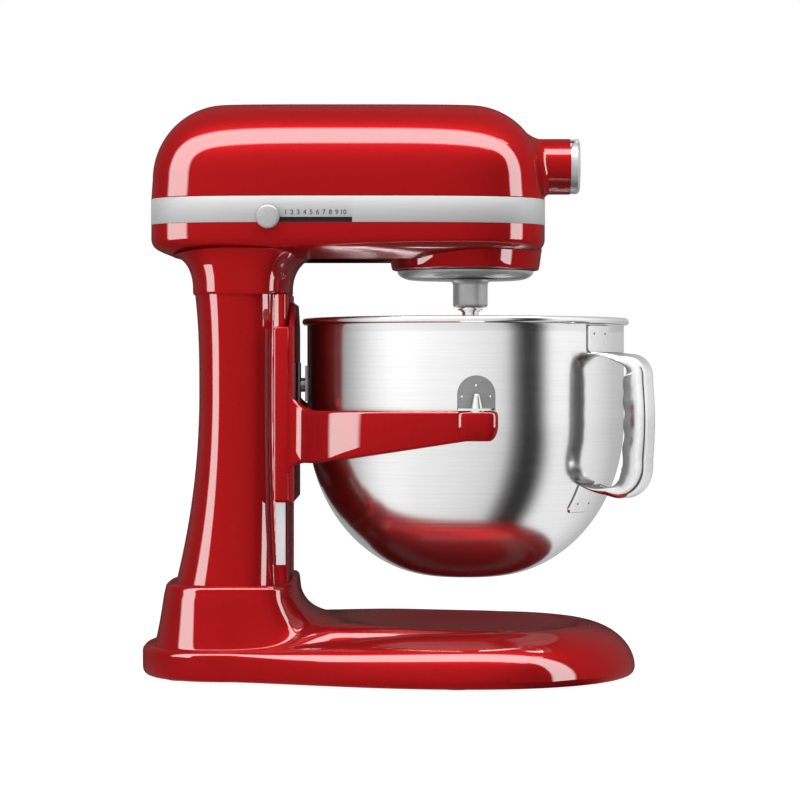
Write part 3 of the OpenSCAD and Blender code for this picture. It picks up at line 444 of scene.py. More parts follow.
def mottled(name, tint, rough=None, **sockets):
    """A material tinted by noise, given as (scale, low colour, high colour), and with its roughness
    spread by a second noise, given as (scale, low, high)."""
    material = finish_material(name, **sockets)
    tinted(material, noise(material, tint[0]), *tint[1:])
    if rough:
        spread(material, noise(material, rough[0]), *rough[1:])
    return material


# Candy red: fine flakes in a red base coat under clear lacquer, with a trace of orange peel.
red_enamel = finish_material(
    "red_enamel", Metallic=0.5, Roughness=0.36, Specular_IOR_Level=0.0,
    Coat_Weight=1.0, Coat_Roughness=0.0, Coat_IOR=2.2,
)
flakes = noise(red_enamel, 1800, detail=2)
tinted(red_enamel, flakes, (0.38, 0.0085, 0.0105), (0.46, 0.0105, 0.0125))
bumped(red_enamel, noise(red_enamel, 160, detail=1), 0.03, 0.0002)


def foot_plate_outline():
    """Foot plate seen from above: a blunt quarter oval in front, a side that narrows to the back
    as a power of a sine, and a squared quarter oval behind, mirrored."""
    half, back_half = base_high.y, 86 * MM
    back_corner = base_low.x + 68 * MM
    blunt, narrowing, squared = 0.93, 1.2, 0.85
    front = np.linspace(0, np.pi / 2, 300)
    nose = bowl_axis_x + (base_high.x - bowl_axis_x) * np.cos(front) ** blunt
    quarter = np.stack([nose, half * np.sin(front) ** blunt], -1)
    x = np.linspace(bowl_axis_x, back_corner, 300)[1:]
    run = (x - back_corner) / (bowl_axis_x - back_corner)
    side = np.stack([x, back_half + (half - back_half) * np.sin(run * np.pi / 2) ** narrowing], -1)
    turn = np.linspace(0, np.pi / 2, 200)[1:]
    tail = back_corner + (base_low.x - back_corner) * np.sin(turn) ** squared
    corner = np.stack([tail, back_half * np.cos(turn) ** squared], -1)
    one_side = np.vstack([quarter, side, corner])
    other_side = one_side[-2:0:-1] * (1, -1)
    return np.vstack([one_side, other_side])


def base_rings():
    """Rings of the casting, from the plate's edge inwards and up the pedestal.
    Edge: quarter ellipse. Top: settles to its level as an exponential on straight lines to the
    pedestal's foot. Flare: between a straight slope and a hollow quarter ellipse.
    The well lowers the top by a softened paraboloid round the bowl's axis."""
    plate = even_steps(foot_plate_outline(), 560)
    normal = inward(plate)
    wall_ends = (pedestal_back, pedestal_front, pedestal_x, pedestal_half)
    wall = squared_oval(*wall_ends, 3, 4, full_turn(3000))
    gap = np.linalg.norm(plate[:, None] - wall[None, ::6], axis=2).min(1)
    shoulder = np.minimum(shoulder_width * (1 - np.exp(-gap / shoulder_growth)), 0.5 * gap)
    flare = flare_width * (1 - np.exp(-gap / flare_growth))
    edge_line = plate + normal * shoulder[:, None]
    polar = np.arctan2(edge_line[:, 1], edge_line[:, 0] - pedestal_x)
    wall_polar = np.arctan2(wall[:, 1], wall[:, 0] - pedestal_x)
    turn = 2 * np.pi
    wall_at = np.stack([np.interp(polar, wall_polar, wall[:, k], period=turn) for k in range(2)], -1)
    reach = edge_line - wall_at
    distance = np.linalg.norm(reach, axis=1)
    outwards = reach / distance[:, None]
    foot_line = wall_at + outwards * np.minimum(flare, distance * 0.96)[:, None]
    ahead = smoothstep(np.cos(polar), 0.45, 0.95)
    drop = 0.78 * shoulder
    side_top = plate_side - 0.46 * drop
    rim = side_top + drop
    plateau = rim + (plate_top - rim) * smoothstep(gap, 0.02, 0.06)
    top = pedestal_top + 6 * ahead * MM
    wall_foot = (60 + 2 * ahead) * MM
    straight = 0.75 * (1 - ahead)
    lip, lean = pedestal_lip, pedestal_lean
    to_centre = np.array([pedestal_x, 0]) - wall_at
    to_centre /= np.linalg.norm(to_centre, axis=1, keepdims=True)

    lower_edge = ((5.0, 0), (4.0, 0.2), (2.4, 0.8), (1.2, 1.8), (0.5, 3.2), (0.1, 5.0))
    rings = [level_ring(plate + normal * (inset * MM), base_low.z + z * MM) for inset, z in lower_edge]
    for a in sweep(0, 90, 15):
        line = plate + normal * (shoulder * (1 - np.cos(a)))[:, None]
        rings.append(level_ring(line, side_top + (rim - side_top) * np.sin(a)))
    edge_rings = len(rings)
    for t in np.linspace(0, 1, 62)[1:]:
        level = rim + (plateau - rim) * (1 - np.exp(-t * distance / plate_settles))
        rings.append(level_ring(edge_line + (foot_line - edge_line) * t, level))
    for a in sweep(0, 90, 22)[1:]:
        out = (1 - np.sin(a)) * (1 - straight) + np.cos(a) * straight
        height = level + (wall_foot - level) * (1 - np.cos(a))
        rings.append(level_ring(wall_at + (foot_line - wall_at) * out[:, None], height))
    for t in np.linspace(0, 1, 6)[1:]:
        rings.append(level_ring(wall_at + to_centre * (lean * t), wall_foot + (top - lip - wall_foot) * t))
    for a in sweep(0, 90, 9)[1:]:
        line = wall_at + to_centre * (lean + lip * (1 - np.cos(a)))
        rings.append(level_ring(line, top - lip + lip * np.sin(a)))
    rings.append(level_ring(wall_at + to_centre * (22 * MM), top))
    grid = np.array(rings)
    radius = np.hypot(grid[..., 0] - bowl_axis_x, grid[..., 1])
    depth = well_depth * (1 - (radius / well_radius) ** 2)
    lowered = well_softness * np.logaddexp(0, depth / well_softness)
    grid[edge_rings:, :, 2] -= lowered[edge_rings:]
    return grid


base = skin("base_casting", base_rings(), red_enamel, crease=50)
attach(base, "frame")
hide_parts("base")

# The feet are black rubber pads, each dished a little where it meets the worktop.
foot_tint = (300, (0.018, 0.018, 0.019), (0.035, 0.035, 0.036))
foot_rubber = mottled("foot_rubber", foot_tint, Roughness=0.75)

# ---- Column ----
# A hollow enamelled casting, waisted behind, with a square front that guides the bowl support.
# It drops into the pedestal's socket and is bolted from below and, at its top, to the gearcase.
guide_half = 56 * MM
guide_back = -150 * MM
column_middle = -100 * MM
waist = 205 * MM
waist_back, waist_half = 146.5 * MM, 58 * MM
foot_height, foot_back, foot_half = 137 * MM, 17 * MM, 8 * MM
neck_height, neck_back, neck_half = 72 * MM, 3 * MM, 2 * MM


def column_rings():
    """Rings up the column: a squared oval whose back and half width grow as powers of the height
    below and above the waist, joined by a soft maximum to a square guide in front."""
    angles = full_turn(2400)
    front = column_high.x
    even = np.linspace(-np.pi, np.pi, 2400, endpoint=False)
    in_front = smoothstep(-np.cos(even), -0.35, 0.15)
    blend = 0.7 * MM
    rings = []

    def reach_of(line):
        """Distance of a closed outline from the column's middle, at the angles of even."""
        from_middle = line - (column_middle, 0)
        polar = np.arctan2(from_middle[:, 1], from_middle[:, 0])
        return np.interp(even, polar, np.linalg.norm(from_middle, axis=1), period=2 * np.pi)

    guide = squared_oval(guide_back, front, column_middle, guide_half, 9, 9, angles)
    guide_reach = reach_of(guide) * (1 - in_front) + 0.040 * in_front
    for z in np.concatenate([[column_low.z], np.linspace(70, 277, 60) * MM]):
        below = np.clip((waist - z) / foot_height, 0, None)
        above = np.clip((z - waist) / neck_height, 0, None)
        back = -(waist_back + foot_back * below**2 + neck_back * above**3)
        half = waist_half + foot_half * below**2 + neck_half * above**2
        reach = reach_of(squared_oval(back, front, pedestal_x, half, 2.8, 2.6, angles))
        wide = blend * np.logaddexp(reach / blend, guide_reach / blend)
        ring = np.stack([column_middle + wide * np.cos(even), wide * np.sin(even)], -1)
        rings.append(level_ring(even_steps(ring, 300), z))
    return np.array(rings)


column = skin("column_casting", column_rings(), red_enamel, crease=50)
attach(column, "frame")
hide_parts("column")

# ---- Head: gearcase ----
# The lower head casting: a flared neck bolted on the column, a tray with a rounded lower edge,
# and in front the round drum in which the planetary turns.
cover_low, cover_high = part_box("head_cover")
planetary_low, planetary_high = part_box("planetary_housing")
boss_length, disc_depth = 20 * MM, 7 * MM
disc_top = planetary_low.z + boss_length + disc_depth
drum_bottom = disc_top + 0.8 * MM
head_back, head_front = cover_low.x, cover_high.x
head_middle = (head_front + head_back) / 2
head_half = cover_high.y
head_front_power = 3.2
band_low, band_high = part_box("trim_band")


def head_line(inset, narrower, around=420):
    """The head seen from above: a squared oval, moved in by inset at its ends and narrower at its sides."""
    back, front = head_back + inset, head_front - inset
    half = head_half - narrower
    angles = full_turn(1600)
    line = squared_oval(back, front, head_middle, half, 3.6, head_front_power, angles)
    return even_steps(line, around)


# The tray's lower edge, as (inset, height) in mm: a sloping underside that turns up into the wall.
tray_edge = [
    (24, 303), (18, 305), (12, 307), (7.2, 308.9), (4.2, 310.4), (2.2, 312), (1, 313.7), (0.3, 315.6),
    (0, 317.5),
]


def gearcase_rings():
    """Rings up the lower head: neck, hollow flare as a quarter ellipse, higher at its sides, then the
    tray's lower edge, and its wall up to the trim band."""
    angles = full_turn(1600)
    neck_foot, flare_foot, flare_top, side_rise = 277 * MM, 282 * MM, 305.5 * MM, 4.5 * MM
    neck_middle, neck_at_flare = -116 * MM, 64 * MM

    def neck(k, z):
        """The neck's outline, from the column's width at k = 0 to the full flare at k = 1."""
        back, front, half = (-151 - 15 * k) * MM, (-79 + 18 * k) * MM, (61 + 3 * k) * MM
        line = squared_oval(back, front, neck_middle, half, 3, 3.4, angles)
        return level_ring(even_steps(line, 420), z)

    rings = [neck(-0.10, neck_foot), neck(-0.02, neck_foot + 1.0 * MM), neck(0, neck_foot + 2.5 * MM)]
    for a in sweep(0, 90, 18):
        place = neck(1 - np.cos(a), 0)
        aside = np.clip(np.abs(place[:, 1]) / neck_at_flare, 0, 1) ** 4
        place[:, 2] = flare_foot + (flare_top + side_rise * aside - flare_foot) * np.sin(a)
        rings.append(place)
    rings += [level_ring(head_line(inset * MM, inset * MM), height * MM) for inset, height in tray_edge]
    top_edge = ((0, -0.6), (0, -0.15), (0.4, 0.1), (1.7, 0.1), (1.7, 2))
    for inset, above in top_edge:
        rings.append(level_ring(head_line(inset * MM, inset * MM), band_low.z + above * MM))
    return np.array(rings)


gearcase = skin("gearcase_casting", gearcase_rings(), red_enamel, crease=50)


def turned(name, profile, axis_place, material, crease=35, around=160, axis="z"):
    """A profile of (radius, place along the axis) spun round an axis through axis_place."""
    angles = full_turn(around)
    profile = np.asarray(profile, float)
    radius, along = profile[:, :1], profile[:, 1:]
    first, second = radius * np.cos(angles), radius * np.sin(angles)
    along = np.broadcast_to(along, first.shape)
    order = {"z": (first, second, along), "x": (along, first, second), "y": (second, along, first)}[axis]
    return skin(name, np.stack(order, -1) + np.array(axis_place), material, crease)


def arc(centre_r, centre_z, radius, start, end, count=8, tall=None):
    """Points (r, z) on an elliptic arc from start to end degrees, for use in a turned profile."""
    a = sweep(start, end, count)
    return np.stack([centre_r + radius * np.cos(a), centre_z + (tall or radius) * np.sin(a)], -1)


def drum_rings():
    """Rings up the drum: a round lower edge and a slightly leaning wall up to a narrow ledge,
    each ring no wider than the tray's own outline is at that angle."""
    angles = full_turn(300)
    outline = head_line(0.5 * MM, 0.5 * MM, 1600) - (bowl_axis_x, 0)
    polar = np.arctan2(outline[:, 1], outline[:, 0])
    limit = np.interp(angles, polar, np.linalg.norm(outline, axis=1), period=2 * np.pi)
    wall = [(54.5, 299.5), (55.2, 305), (55.9, 310), (56.1, 311.6)]
    foot = [(20 * MM, drum_bottom), (50.4 * MM, drum_bottom)]
    edge = arc(52.4 * MM, drum_bottom + 1.6 * MM, 1.6 * MM, -90, -6, 7)
    profile = np.vstack([foot, edge, np.array(wall) * MM])
    rings = [(np.minimum(radius, limit), z) for radius, z in profile]
    ledge = np.minimum(55 * MM, limit - 1 * MM)
    rings += [(ledge, 312.4 * MM), (ledge, 314 * MM)]
    circle = np.stack([np.cos(angles), np.sin(angles)], -1)
    return np.array([level_ring((bowl_axis_x, 0) + circle * radius[:, None], z) for radius, z in rings])


drum = skin("gearcase_drum", drum_rings(), red_enamel, crease=50)
for made in (gearcase, drum):
    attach(made, "frame")
    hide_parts("gearcase")

# ---- Head: cover ----
# The upper head casting over motor and gears, arched across and rounded at both ends.
# It is screwed down on the gearcase through the joint that the trim band hides.
roof_round = 56 * MM
roof_foot = cover_high.z - roof_round
roof_power = 0.72


def cover_rings():
    """Rings up the cover: its joint edge, a short wall, then a roof whose ends follow a quarter circle
    and whose half width is a power of the cosine."""
    rings = []
    for inset, above in ((1.7, -2), (1.7, 0), (0.4, 0), (0.05, 0.35)):
        rings.append(level_ring(head_line(inset * MM, inset * MM), band_high.z + above * MM))
    for z in np.linspace(band_high.z + 1 * MM, roof_foot, 6)[:-1]:
        lean = (z - band_high.z) / (roof_foot - band_high.z)
        rings.append(level_ring(head_line(1 * MM * lean, 0), z))
    for a in np.radians(np.concatenate([np.linspace(0, 84, 43), [86, 87.5, 88.7, 89.5, 90]])):
        inset = 1 * MM + (roof_round - 1 * MM) * (1 - np.cos(a))
        narrower = head_half * (1 - max(np.cos(a), 0) ** roof_power)
        rings.append(level_ring(head_line(inset, narrower), roof_foot + roof_round * np.sin(a)))
    return np.array(rings)


cover = skin("head_cover_casting", cover_rings(), red_enamel, crease=50)
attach(cover, "frame")
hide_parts("head_cover")

# ---- Trim band, speed slot and scale ----
# A satin stainless band clipped round the joint between the two head castings. The speed slot is cut
# in its lower edge, over a black strip that paints the shade inside the slot, and the scale from 1 to 10 is
# printed above it.
slot_back, slot_front = -98 * MM, -34 * MM
slot_height = 3.6 * MM
band_proud = 0.22 * MM
satin_band = finish_material("satin_band", Metallic=0.5)
band_grain = noise(satin_band, 60, stretch=(0.3, 0.3, 14), detail=6)
tinted(satin_band, band_grain, (0.50, 0.50, 0.505), (0.54, 0.54, 0.545))
spread(satin_band, band_grain, 0.50, 0.60)


def near_side_at(line, x):
    """Where the near side of an outline, at negative Y, lies at x."""
    side = line[line[:, 1] < 0]
    order = np.argsort(side[:, 0])
    return np.interp(x, side[order, 0], side[order, 1])


def band_rings():
    """Closed band: its outer face from the lower to the upper edge, then its inner face back down.
    The lower edge steps up to the slot's height between the slot's two ends, on the knob's side."""
    line = head_line(0, 0, 900)
    step = 0.02 * MM
    ends = [
        (x + shift, near_side_at(line, x)) for x in (slot_back, slot_front) for shift in (-step, step)
    ]
    line = np.vstack([line, ends])
    line = line[np.argsort(np.arctan2(line[:, 1], line[:, 0] - head_middle))]
    normal = inward(line)
    cut = (line[:, 1] < 0) & (line[:, 0] > slot_back) & (line[:, 0] < slot_front)
    low = np.where(cut, band_low.z + slot_height, band_low.z)
    high = np.full(len(line), band_high.z)
    edge = 0.25 * MM
    outer = [(-0.05, low), (-0.22, low + edge), (-0.22, high - edge), (-0.05, high)]
    path = [(1.2, low), *outer, (1.2, high), (1.2, low)]
    return np.array([level_ring(line + normal * (inset * MM), height) for inset, height in path])


band = skin("trim_band_strip", band_rings(), satin_band, closed_ends=False)
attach(band, "frame")
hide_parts("trim_band")

black_tint = (900, (0.004, 0.004, 0.0045), (0.010, 0.010, 0.0105))
black_plastic = mottled("black_plastic", black_tint, Roughness=0.5, Specular_IOR_Level=0.25)


def liner_rings():
    """A black strip just behind the slot, following the head's side, that paints the shade inside the slot.
    """
    x = np.linspace(slot_back - 4 * MM, slot_front + 4 * MM, 60)
    y = near_side_at(head_line(0, 0, 1600), x)
    low, high = band_low.z + 0.15 * MM, band_low.z + slot_height + 3 * MM
    depths = [(1.25, low), (1.25, high), (1.62, high), (1.62, low)]
    return np.array([[(a, b + inset * MM, z) for inset, z in depths] for a, b in zip(x, y)])


# Painted shade: a black strip behind the slot, so that the slot reads dark inside.
slot_shade_piece = skin("slot_shade_strip", liner_rings(), black_plastic)
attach(slot_shade_piece, "frame")
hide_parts("slot_liner")

scale_ink = mottled("scale_ink", (700, (0.07, 0.07, 0.075), (0.11, 0.11, 0.115)), Roughness=0.6)
scale_first, scale_step = -81.4 * MM, 4.55 * MM
scale_z = 334.9 * MM
figure_size, figure_bold, figure_raise = 4.8 * MM, 0.09 * MM, 0.12 * MM
band_face = head_line(-band_proud, -band_proud, 1600)


def vertices_of(mesh):
    """The mesh's vertices as an array (vertex, xyz)."""
    local = np.zeros(len(mesh.vertices) * 3)
    mesh.vertices.foreach_get("co", local)
    return local.reshape(-1, 3)


for number in range(1, 11):
    figure = bpy.data.curves.new(f"figure_{number}", "FONT")
    figure.body = str(number)
    figure.size = figure_size
    figure.offset = figure_bold
    figure.align_x = "CENTER"
    figure.align_y = "CENTER"
    figure.extrude = figure_raise
    shape = add_object(f"figure_{number}", figure)
    bpy.context.view_layer.update()
    flat = bpy.data.meshes.new_from_object(shape)
    bpy.data.objects.remove(shape)
    local = vertices_of(flat)
    x = scale_first + scale_step * (number - 1) + local[:, 0]
    y = near_side_at(band_face, x) - 0.02 * MM - local[:, 2]
    flat.vertices.foreach_set("co", np.column_stack([x, y, scale_z + local[:, 1]]).ravel())
    flat.materials.clear()
    flat.materials.append(scale_ink)
    digit = add_object(f"scale_figure_{number}", flat)
    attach(digit, "frame")

# ---- Speed knob ----
# A zinc button with a domed satin face, on a black slide that runs behind the slot. Its back clears
# the figures that it passes over.
knob_low, knob_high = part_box("speed_knob")
knob_x = (knob_low.x + knob_high.x) / 2
knob_z = (knob_low.z + knob_high.z) / 2
knob_r = (knob_high.x - knob_low.x) / 2
knob_tint = (500, (0.40, 0.40, 0.405), (0.45, 0.45, 0.455))
knob_silver = mottled("knob_silver", knob_tint, (90, 0.34, 0.44), Metallic=0.5)
knob_face = knob_low.y
knob_rim = knob_face + 2.2 * MM
knob_seat = -head_half - 0.65 * MM
knob_back = [(0.01 * MM, knob_seat), (knob_r - 0.9 * MM, knob_seat), (knob_r, knob_seat - 0.8 * MM)]
knob_edge = arc(knob_r - 1.6 * MM, knob_rim, 1.6 * MM, 0, -60, 8, tall=1.5 * MM)
knob_dome = arc(0, knob_face + 1.0 * MM, knob_r - 0.8 * MM, -12, -90, 16, tall=1.0 * MM)
knob_profile = np.vstack([knob_back, [(knob_r, knob_rim)], knob_edge, knob_dome])
knob = turned("speed_knob_button", knob_profile, (knob_x, 0, knob_z), knob_silver, axis="y")
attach(knob, "speed_control")
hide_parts("speed_knob")

# ---- Attachment hub ----
# A barrel cast with the head, faired into its front by a hollow fillet, bored for attachments.
# Its satin cap is hinged on top and a black screw at the far side clamps the shank.
hub_low, hub_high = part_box("hub_collar")
hub_axis_z = (hub_low.z + hub_high.z) / 2
hub_radius = (hub_high.z - hub_low.z) / 2
bore_radius = 15.5 * MM
bore_start = 98 * MM


def head_front_at(y, z):
    """Where the cover's front lies: its squared oval solved for x, set back by the roof's ellipse."""
    rise = np.clip((z - roof_foot) / roof_round, 0, 1)
    level = np.sqrt(1 - rise**2)
    front = head_front - 1 * MM - (roof_round - 1 * MM) * (1 - level)
    half = head_half * np.maximum(level, 0.05) ** roof_power
    across = np.clip(np.abs(y) / half, 0, 0.999)
    return head_middle + (front - head_middle) * (1 - across**head_front_power) ** (1 / head_front_power)


def barrel_rings():
    """Closed tube along X. Behind, a hollow fillet, a quadratic curve at each angle, runs from the head's
    own front out to the barrel; in front the tube turns in to the bore and goes back inside the head."""
    angles = full_turn(200)
    sine, cosine = np.sin(angles), np.cos(angles)
    radius = hub_radius - 0.5 * MM
    fillet = (9 + 4 * np.clip(cosine, 0, 1)) * MM
    wide = radius + fillet
    bore = bore_radius + 0.05 * MM
    inside = bore_start - 8 * MM

    def ring(x, r):
        r = np.broadcast_to(r, 200)
        return np.column_stack([np.broadcast_to(x, 200), r * sine, hub_axis_z + r * cosine])

    def head_at(r):
        return head_front_at(r * sine, hub_axis_z + r * cosine)

    end_x, corner_x = head_at(wide) - 0.4 * MM, head_at(radius)
    rings = [ring(inside, bore), ring(inside, radius - 2 * MM), ring(head_at(wide) - 3 * MM, wide - 3 * MM)]
    for t in np.linspace(0, 1, 18):
        x = (1 - t) ** 2 * end_x + 2 * t * (1 - t) * corner_x + t**2 * (corner_x + fillet * 0.8)
        rings.append(ring(np.minimum(x, hub_high.x - 4 * MM), radius + fillet * (1 - t) ** 2))
    mouth = [
        (radius + 0.1 * MM, 3), (radius + 0.1 * MM, 1.0), (radius - 0.6 * MM, 0.2),
        (radius - 1.2 * MM, 0.05), (bore_radius + 0.5 * MM, 0.05), (bore, 0.5),
    ]
    rings += [ring(hub_high.x - behind * MM, r) for r, behind in mouth]
    return np.array(rings + [ring(bore_start + 0.5 * MM, bore), ring(inside, bore)])


barrel = skin("hub_barrel", barrel_rings(), red_enamel, crease=40, closed_ends=False)
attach(barrel, "frame")

cap_tint = (420, (0.46, 0.46, 0.47), (0.53, 0.53, 0.54))
cap_silver = mottled("cap_silver", cap_tint, (80, 0.32, 0.42), Metallic=0.85)

# ---- Bowl ----
# Deep-drawn stainless steel, brushed as it span, with its edge rolled outwards into a bead.
bowl_top = bowl_high.z - 2.6 * MM
bowl_radius = 116 * MM
bowl_floor = bowl_low.z
bowl_round = 114 * MM
bowl_flat = 18 * MM
bowl_sheet = 1.5 * MM
bead_r = 2.55 * MM
bead_centre = bowl_radius + 1.1 * MM
wall_start = 190 * MM
nearly_0 = 0.01 * MM


def bowl_wall(inset, count=48):
    """Points (r, z) of the bowl's section: a flat, then a quarter ellipse up to the straight wall."""
    a = sweep(0, 90, count)
    r = bowl_flat + (bowl_radius - bowl_flat - inset) * np.sin(a)
    return np.stack([r, bowl_floor + bowl_round - (bowl_round - inset) * np.cos(a)], -1)


def bowl_radius_at(z):
    """The bowl's outer radius at the height z, and the share of its round that lies above z."""
    drop = np.clip((bowl_floor + bowl_round - z) / bowl_round, 0, 1)
    return bowl_flat + (bowl_radius - bowl_flat) * np.sqrt(1 - drop**2), drop


bowl_profile = np.vstack(
    [
        [(nearly_0, bowl_floor)],
        bowl_wall(0),
        [(bowl_radius, z) for z in np.linspace(wall_start, bowl_top - 3.0 * MM, 12)],
        [(bowl_radius + 0.3 * MM, bowl_top - 2.45 * MM)],
        arc(bead_centre, bowl_top, bead_r, -95, 178, 20),
        [(bowl_radius - bowl_sheet, z) for z in np.linspace(bowl_top - 1.5 * MM, wall_start, 12)],
        bowl_wall(bowl_sheet)[::-1],
        [(nearly_0, bowl_floor + bowl_sheet)],
    ]
)
brushed_steel = finish_material(
    "brushed_steel", Metallic=1.0, Roughness=0.27, Anisotropic=0.5, Anisotropic_Rotation=0.25
)
round_axis = brushed_steel.node_tree.nodes.new("ShaderNodeTangent")
round_axis.direction_type = "RADIAL"
round_axis.axis = "Z"
brushed_steel.node_tree.links.new(round_axis.outputs["Tangent"], principled(brushed_steel)["Tangent"])
brush_lines = noise(brushed_steel, 1, stretch=(14, 14, 900), detail=3)
tinted(brushed_steel, brush_lines, (0.82, 0.82, 0.82), (0.86, 0.86, 0.86))
spread(brushed_steel, noise(brushed_steel, 1, stretch=(8, 8, 1500)), 0.15, 0.21)
bumped(brushed_steel, noise(brushed_steel, 1, stretch=(12, 12, 1300), detail=2), 0.012, 0.0001)
on_bowl_axis = (bowl_axis_x, 0, 0)
bowl = turned("mixing_bowl_shell", bowl_profile, on_bowl_axis, brushed_steel, crease=60, around=288)
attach(bowl, "mixing_bowl")
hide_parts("bowl")

# ---- Bowl handle ----
# A loop of pressed steel, rounded outside and open towards the bowl, with finger waves along its grip.
# Both ends are drawn thin and spot-welded to the bowl by flat tabs.
handle_turn = np.radians(-37)
polished = finish_material("polished_steel", Metallic=1.0)
polish = noise(polished, 260)
tinted(polished, polish, (0.76, 0.76, 0.76), (0.82, 0.82, 0.82))
spread(polished, polish, 0.16, 0.22)
grip_out = 160.3 * MM
grip_deep = 18 * MM
handle_low, handle_high = bowl_top - 126 * MM, bowl_top - 22.5 * MM
wave_depth, wave_first, wave_step = 1.2 * MM, 0.335, 0.098


def grip_centre(count):
    """Outer line of the loop in the plane of the handle, as (distance from the bowl's axis, z):
    out from the upper tab, round a corner, down the slightly bowed grip, round and back in."""
    top_r, low_r = 16 * MM, 22 * MM
    out = grip_out - 1.6 * MM
    start = [(bowl_radius - 0.4 * MM, handle_high - 0.3 * MM), (bowl_radius + 8 * MM, handle_high)]
    a = sweep(90, 4, 26)
    upper_z = handle_high - 1.5 * MM - top_r + top_r * np.sin(a)
    upper = np.stack([out - top_r + top_r * np.cos(a), upper_z], -1)
    z = np.linspace(handle_high - 22 * MM, handle_low + 28 * MM, 20)
    middle = (z[0] + z[-1]) / 2
    bow = 1.5 * MM * (1 - ((z - middle) / (z[0] - middle)) ** 2)
    grip = np.stack([out + bow, z], -1)
    a = sweep(-4, -98, 26)
    lower = np.stack([out - low_r + low_r * np.cos(a), handle_low + low_r + low_r * np.sin(a)], -1)
    end = [(bowl_radius + 3 * MM, handle_low + 4.0 * MM), (109.5 * MM, handle_low + 7.5 * MM)]
    rough = np.vstack([start, upper, grip, lower, end])
    length = running_length(rough)
    at = np.linspace(0, length[-1], count)
    line = np.stack([np.interp(at, length, rough[:, k]) for k in range(2)], -1)
    for _ in range(6):
        line[1:-1] = (line[:-2] + 2 * line[1:-1] + line[2:]) / 4
    return line, at / length[-1]


def grip_shell():
    """Channel section carried along the loop: a rounded back with two sides turned inwards.
    The sides' depth grows from the tabs to the grip, where a row of cosines makes the finger waves."""
    line, share = grip_centre(150)
    along = np.gradient(line, axis=0)
    along /= np.linalg.norm(along, axis=1, keepdims=True)
    inside = np.stack([along[:, 1], -along[:, 0]], -1)
    full = smoothstep(share, 0.02, 0.33) * (1 - smoothstep(share, 0.74, 0.98))
    deep = 2.2 * MM + (grip_deep - 4.4 * MM) * full
    wave = wave_depth * (1 + np.cos(2 * np.pi * (share - wave_first) / wave_step)) / 2
    wave *= smoothstep(share, 0.30, 0.36) * (1 - smoothstep(share, 0.66, 0.74))
    swell = smoothstep(share, 0.25, 0.4) * (1 - smoothstep(share, 0.66, 0.8))
    deep = deep + 1.6 * MM * swell - wave
    half = (12.6 - 3.4 * smoothstep(share, 0.0, 0.22) + 2.6 * smoothstep(share, 0.80, 1.0)) * MM
    round_r = np.minimum(5.2 * MM, deep * 0.9)
    sheet = 1.2 * MM
    inner = np.maximum(round_r - sheet, 0.3 * MM)
    turn = sweep(90, 0, 9)
    one_side = [(half - round_r * (1 - np.cos(t)), round_r * (1 - np.sin(t))) for t in turn]
    one_side += [
        (half, np.maximum(deep - 0.7 * MM, round_r)),
        (half - 0.35 * sheet, deep),
        (half - sheet, np.maximum(deep - 0.5 * MM, round_r)),
    ]
    one_side += [
        (half - sheet - inner * (1 - np.cos(t)), sheet + inner * (1 - np.sin(t))) for t in turn[::-1]
    ]
    one_side = np.array(one_side).transpose(2, 0, 1)
    section = np.concatenate([one_side[:, ::-1] * (-1, 1), one_side], 1)
    across, depth = section[..., 0], section[..., 1]
    u = line[:, None, 0] + inside[:, None, 0] * depth
    z = line[:, None, 1] + inside[:, None, 1] * depth
    x = bowl_axis_x + u * np.cos(handle_turn) - across * np.sin(handle_turn)
    y = u * np.sin(handle_turn) + across * np.cos(handle_turn)
    return np.stack([x, y, z], -1)


grip = skin("handle_loop", grip_shell(), polished, crease=50)


def closed_sheet(name, outer, inner, material, crease=40):
    """Two like grids joined round their border into one closed sheet."""
    rows, columns = outer.shape[:2]
    r, c = np.meshgrid(np.arange(rows - 1), np.arange(columns - 1), indexing="ij")
    here = (r * columns + c).ravel()
    front = np.stack([here, here + 1, here + columns + 1, here + columns], -1)
    top = np.arange(columns)
    right = np.arange(1, rows) * columns + columns - 1
    bottom = (rows - 1) * columns + np.arange(columns - 2, -1, -1)
    left = np.arange(rows - 2, 0, -1) * columns
    border = np.concatenate([top, right, bottom, left])
    after = np.roll(border, -1)
    count = rows * columns
    rim = np.stack([border, border + count, after + count, after], -1)
    faces = np.vstack([front, front[:, ::-1] + count, rim]).tolist()
    points = np.vstack([outer.reshape(-1, 3), inner.reshape(-1, 3)])
    return solid_piece(name, points, faces, material, crease)


def bowl_tab(name, low, high, half_low, half_high, corner, proud=1.6 * MM):
    """A sheet on the bowl's outer face between two heights, its half width running evenly from
    half_low to half_high, with rounded ends; its edges fall to the wall."""
    z = np.linspace(low, high, 40)[:, None]
    side = np.linspace(-1, 1, 40)[None, :]
    half = half_low + (half_high - half_low) * (z - low) / (high - low)
    near_end = np.clip(1 - (z - low) / corner, 0, 1)
    half = half - corner * (1 - np.sqrt(1 - near_end**2))
    wall = bowl_radius_at(z)[0]
    edge = np.maximum(np.abs(side), np.abs(2 * (z - low) / (high - low) - 1) ** 3 * 0.999)
    fall = np.clip((edge - 0.94) / 0.06, 0, 1)
    lift = proud * np.sqrt(np.clip(1 - fall**2, 0, 1)) + 0.05 * MM
    angle = handle_turn + side * half / wall
    faces = []
    for radius in (wall + lift, np.broadcast_to(wall - 0.4 * MM, lift.shape)):
        x, y = bowl_axis_x + radius * np.cos(angle), radius * np.sin(angle)
        faces.append(np.stack([x, y, np.broadcast_to(z, radius.shape)], -1))
    return closed_sheet(name, *faces, polished, 50)


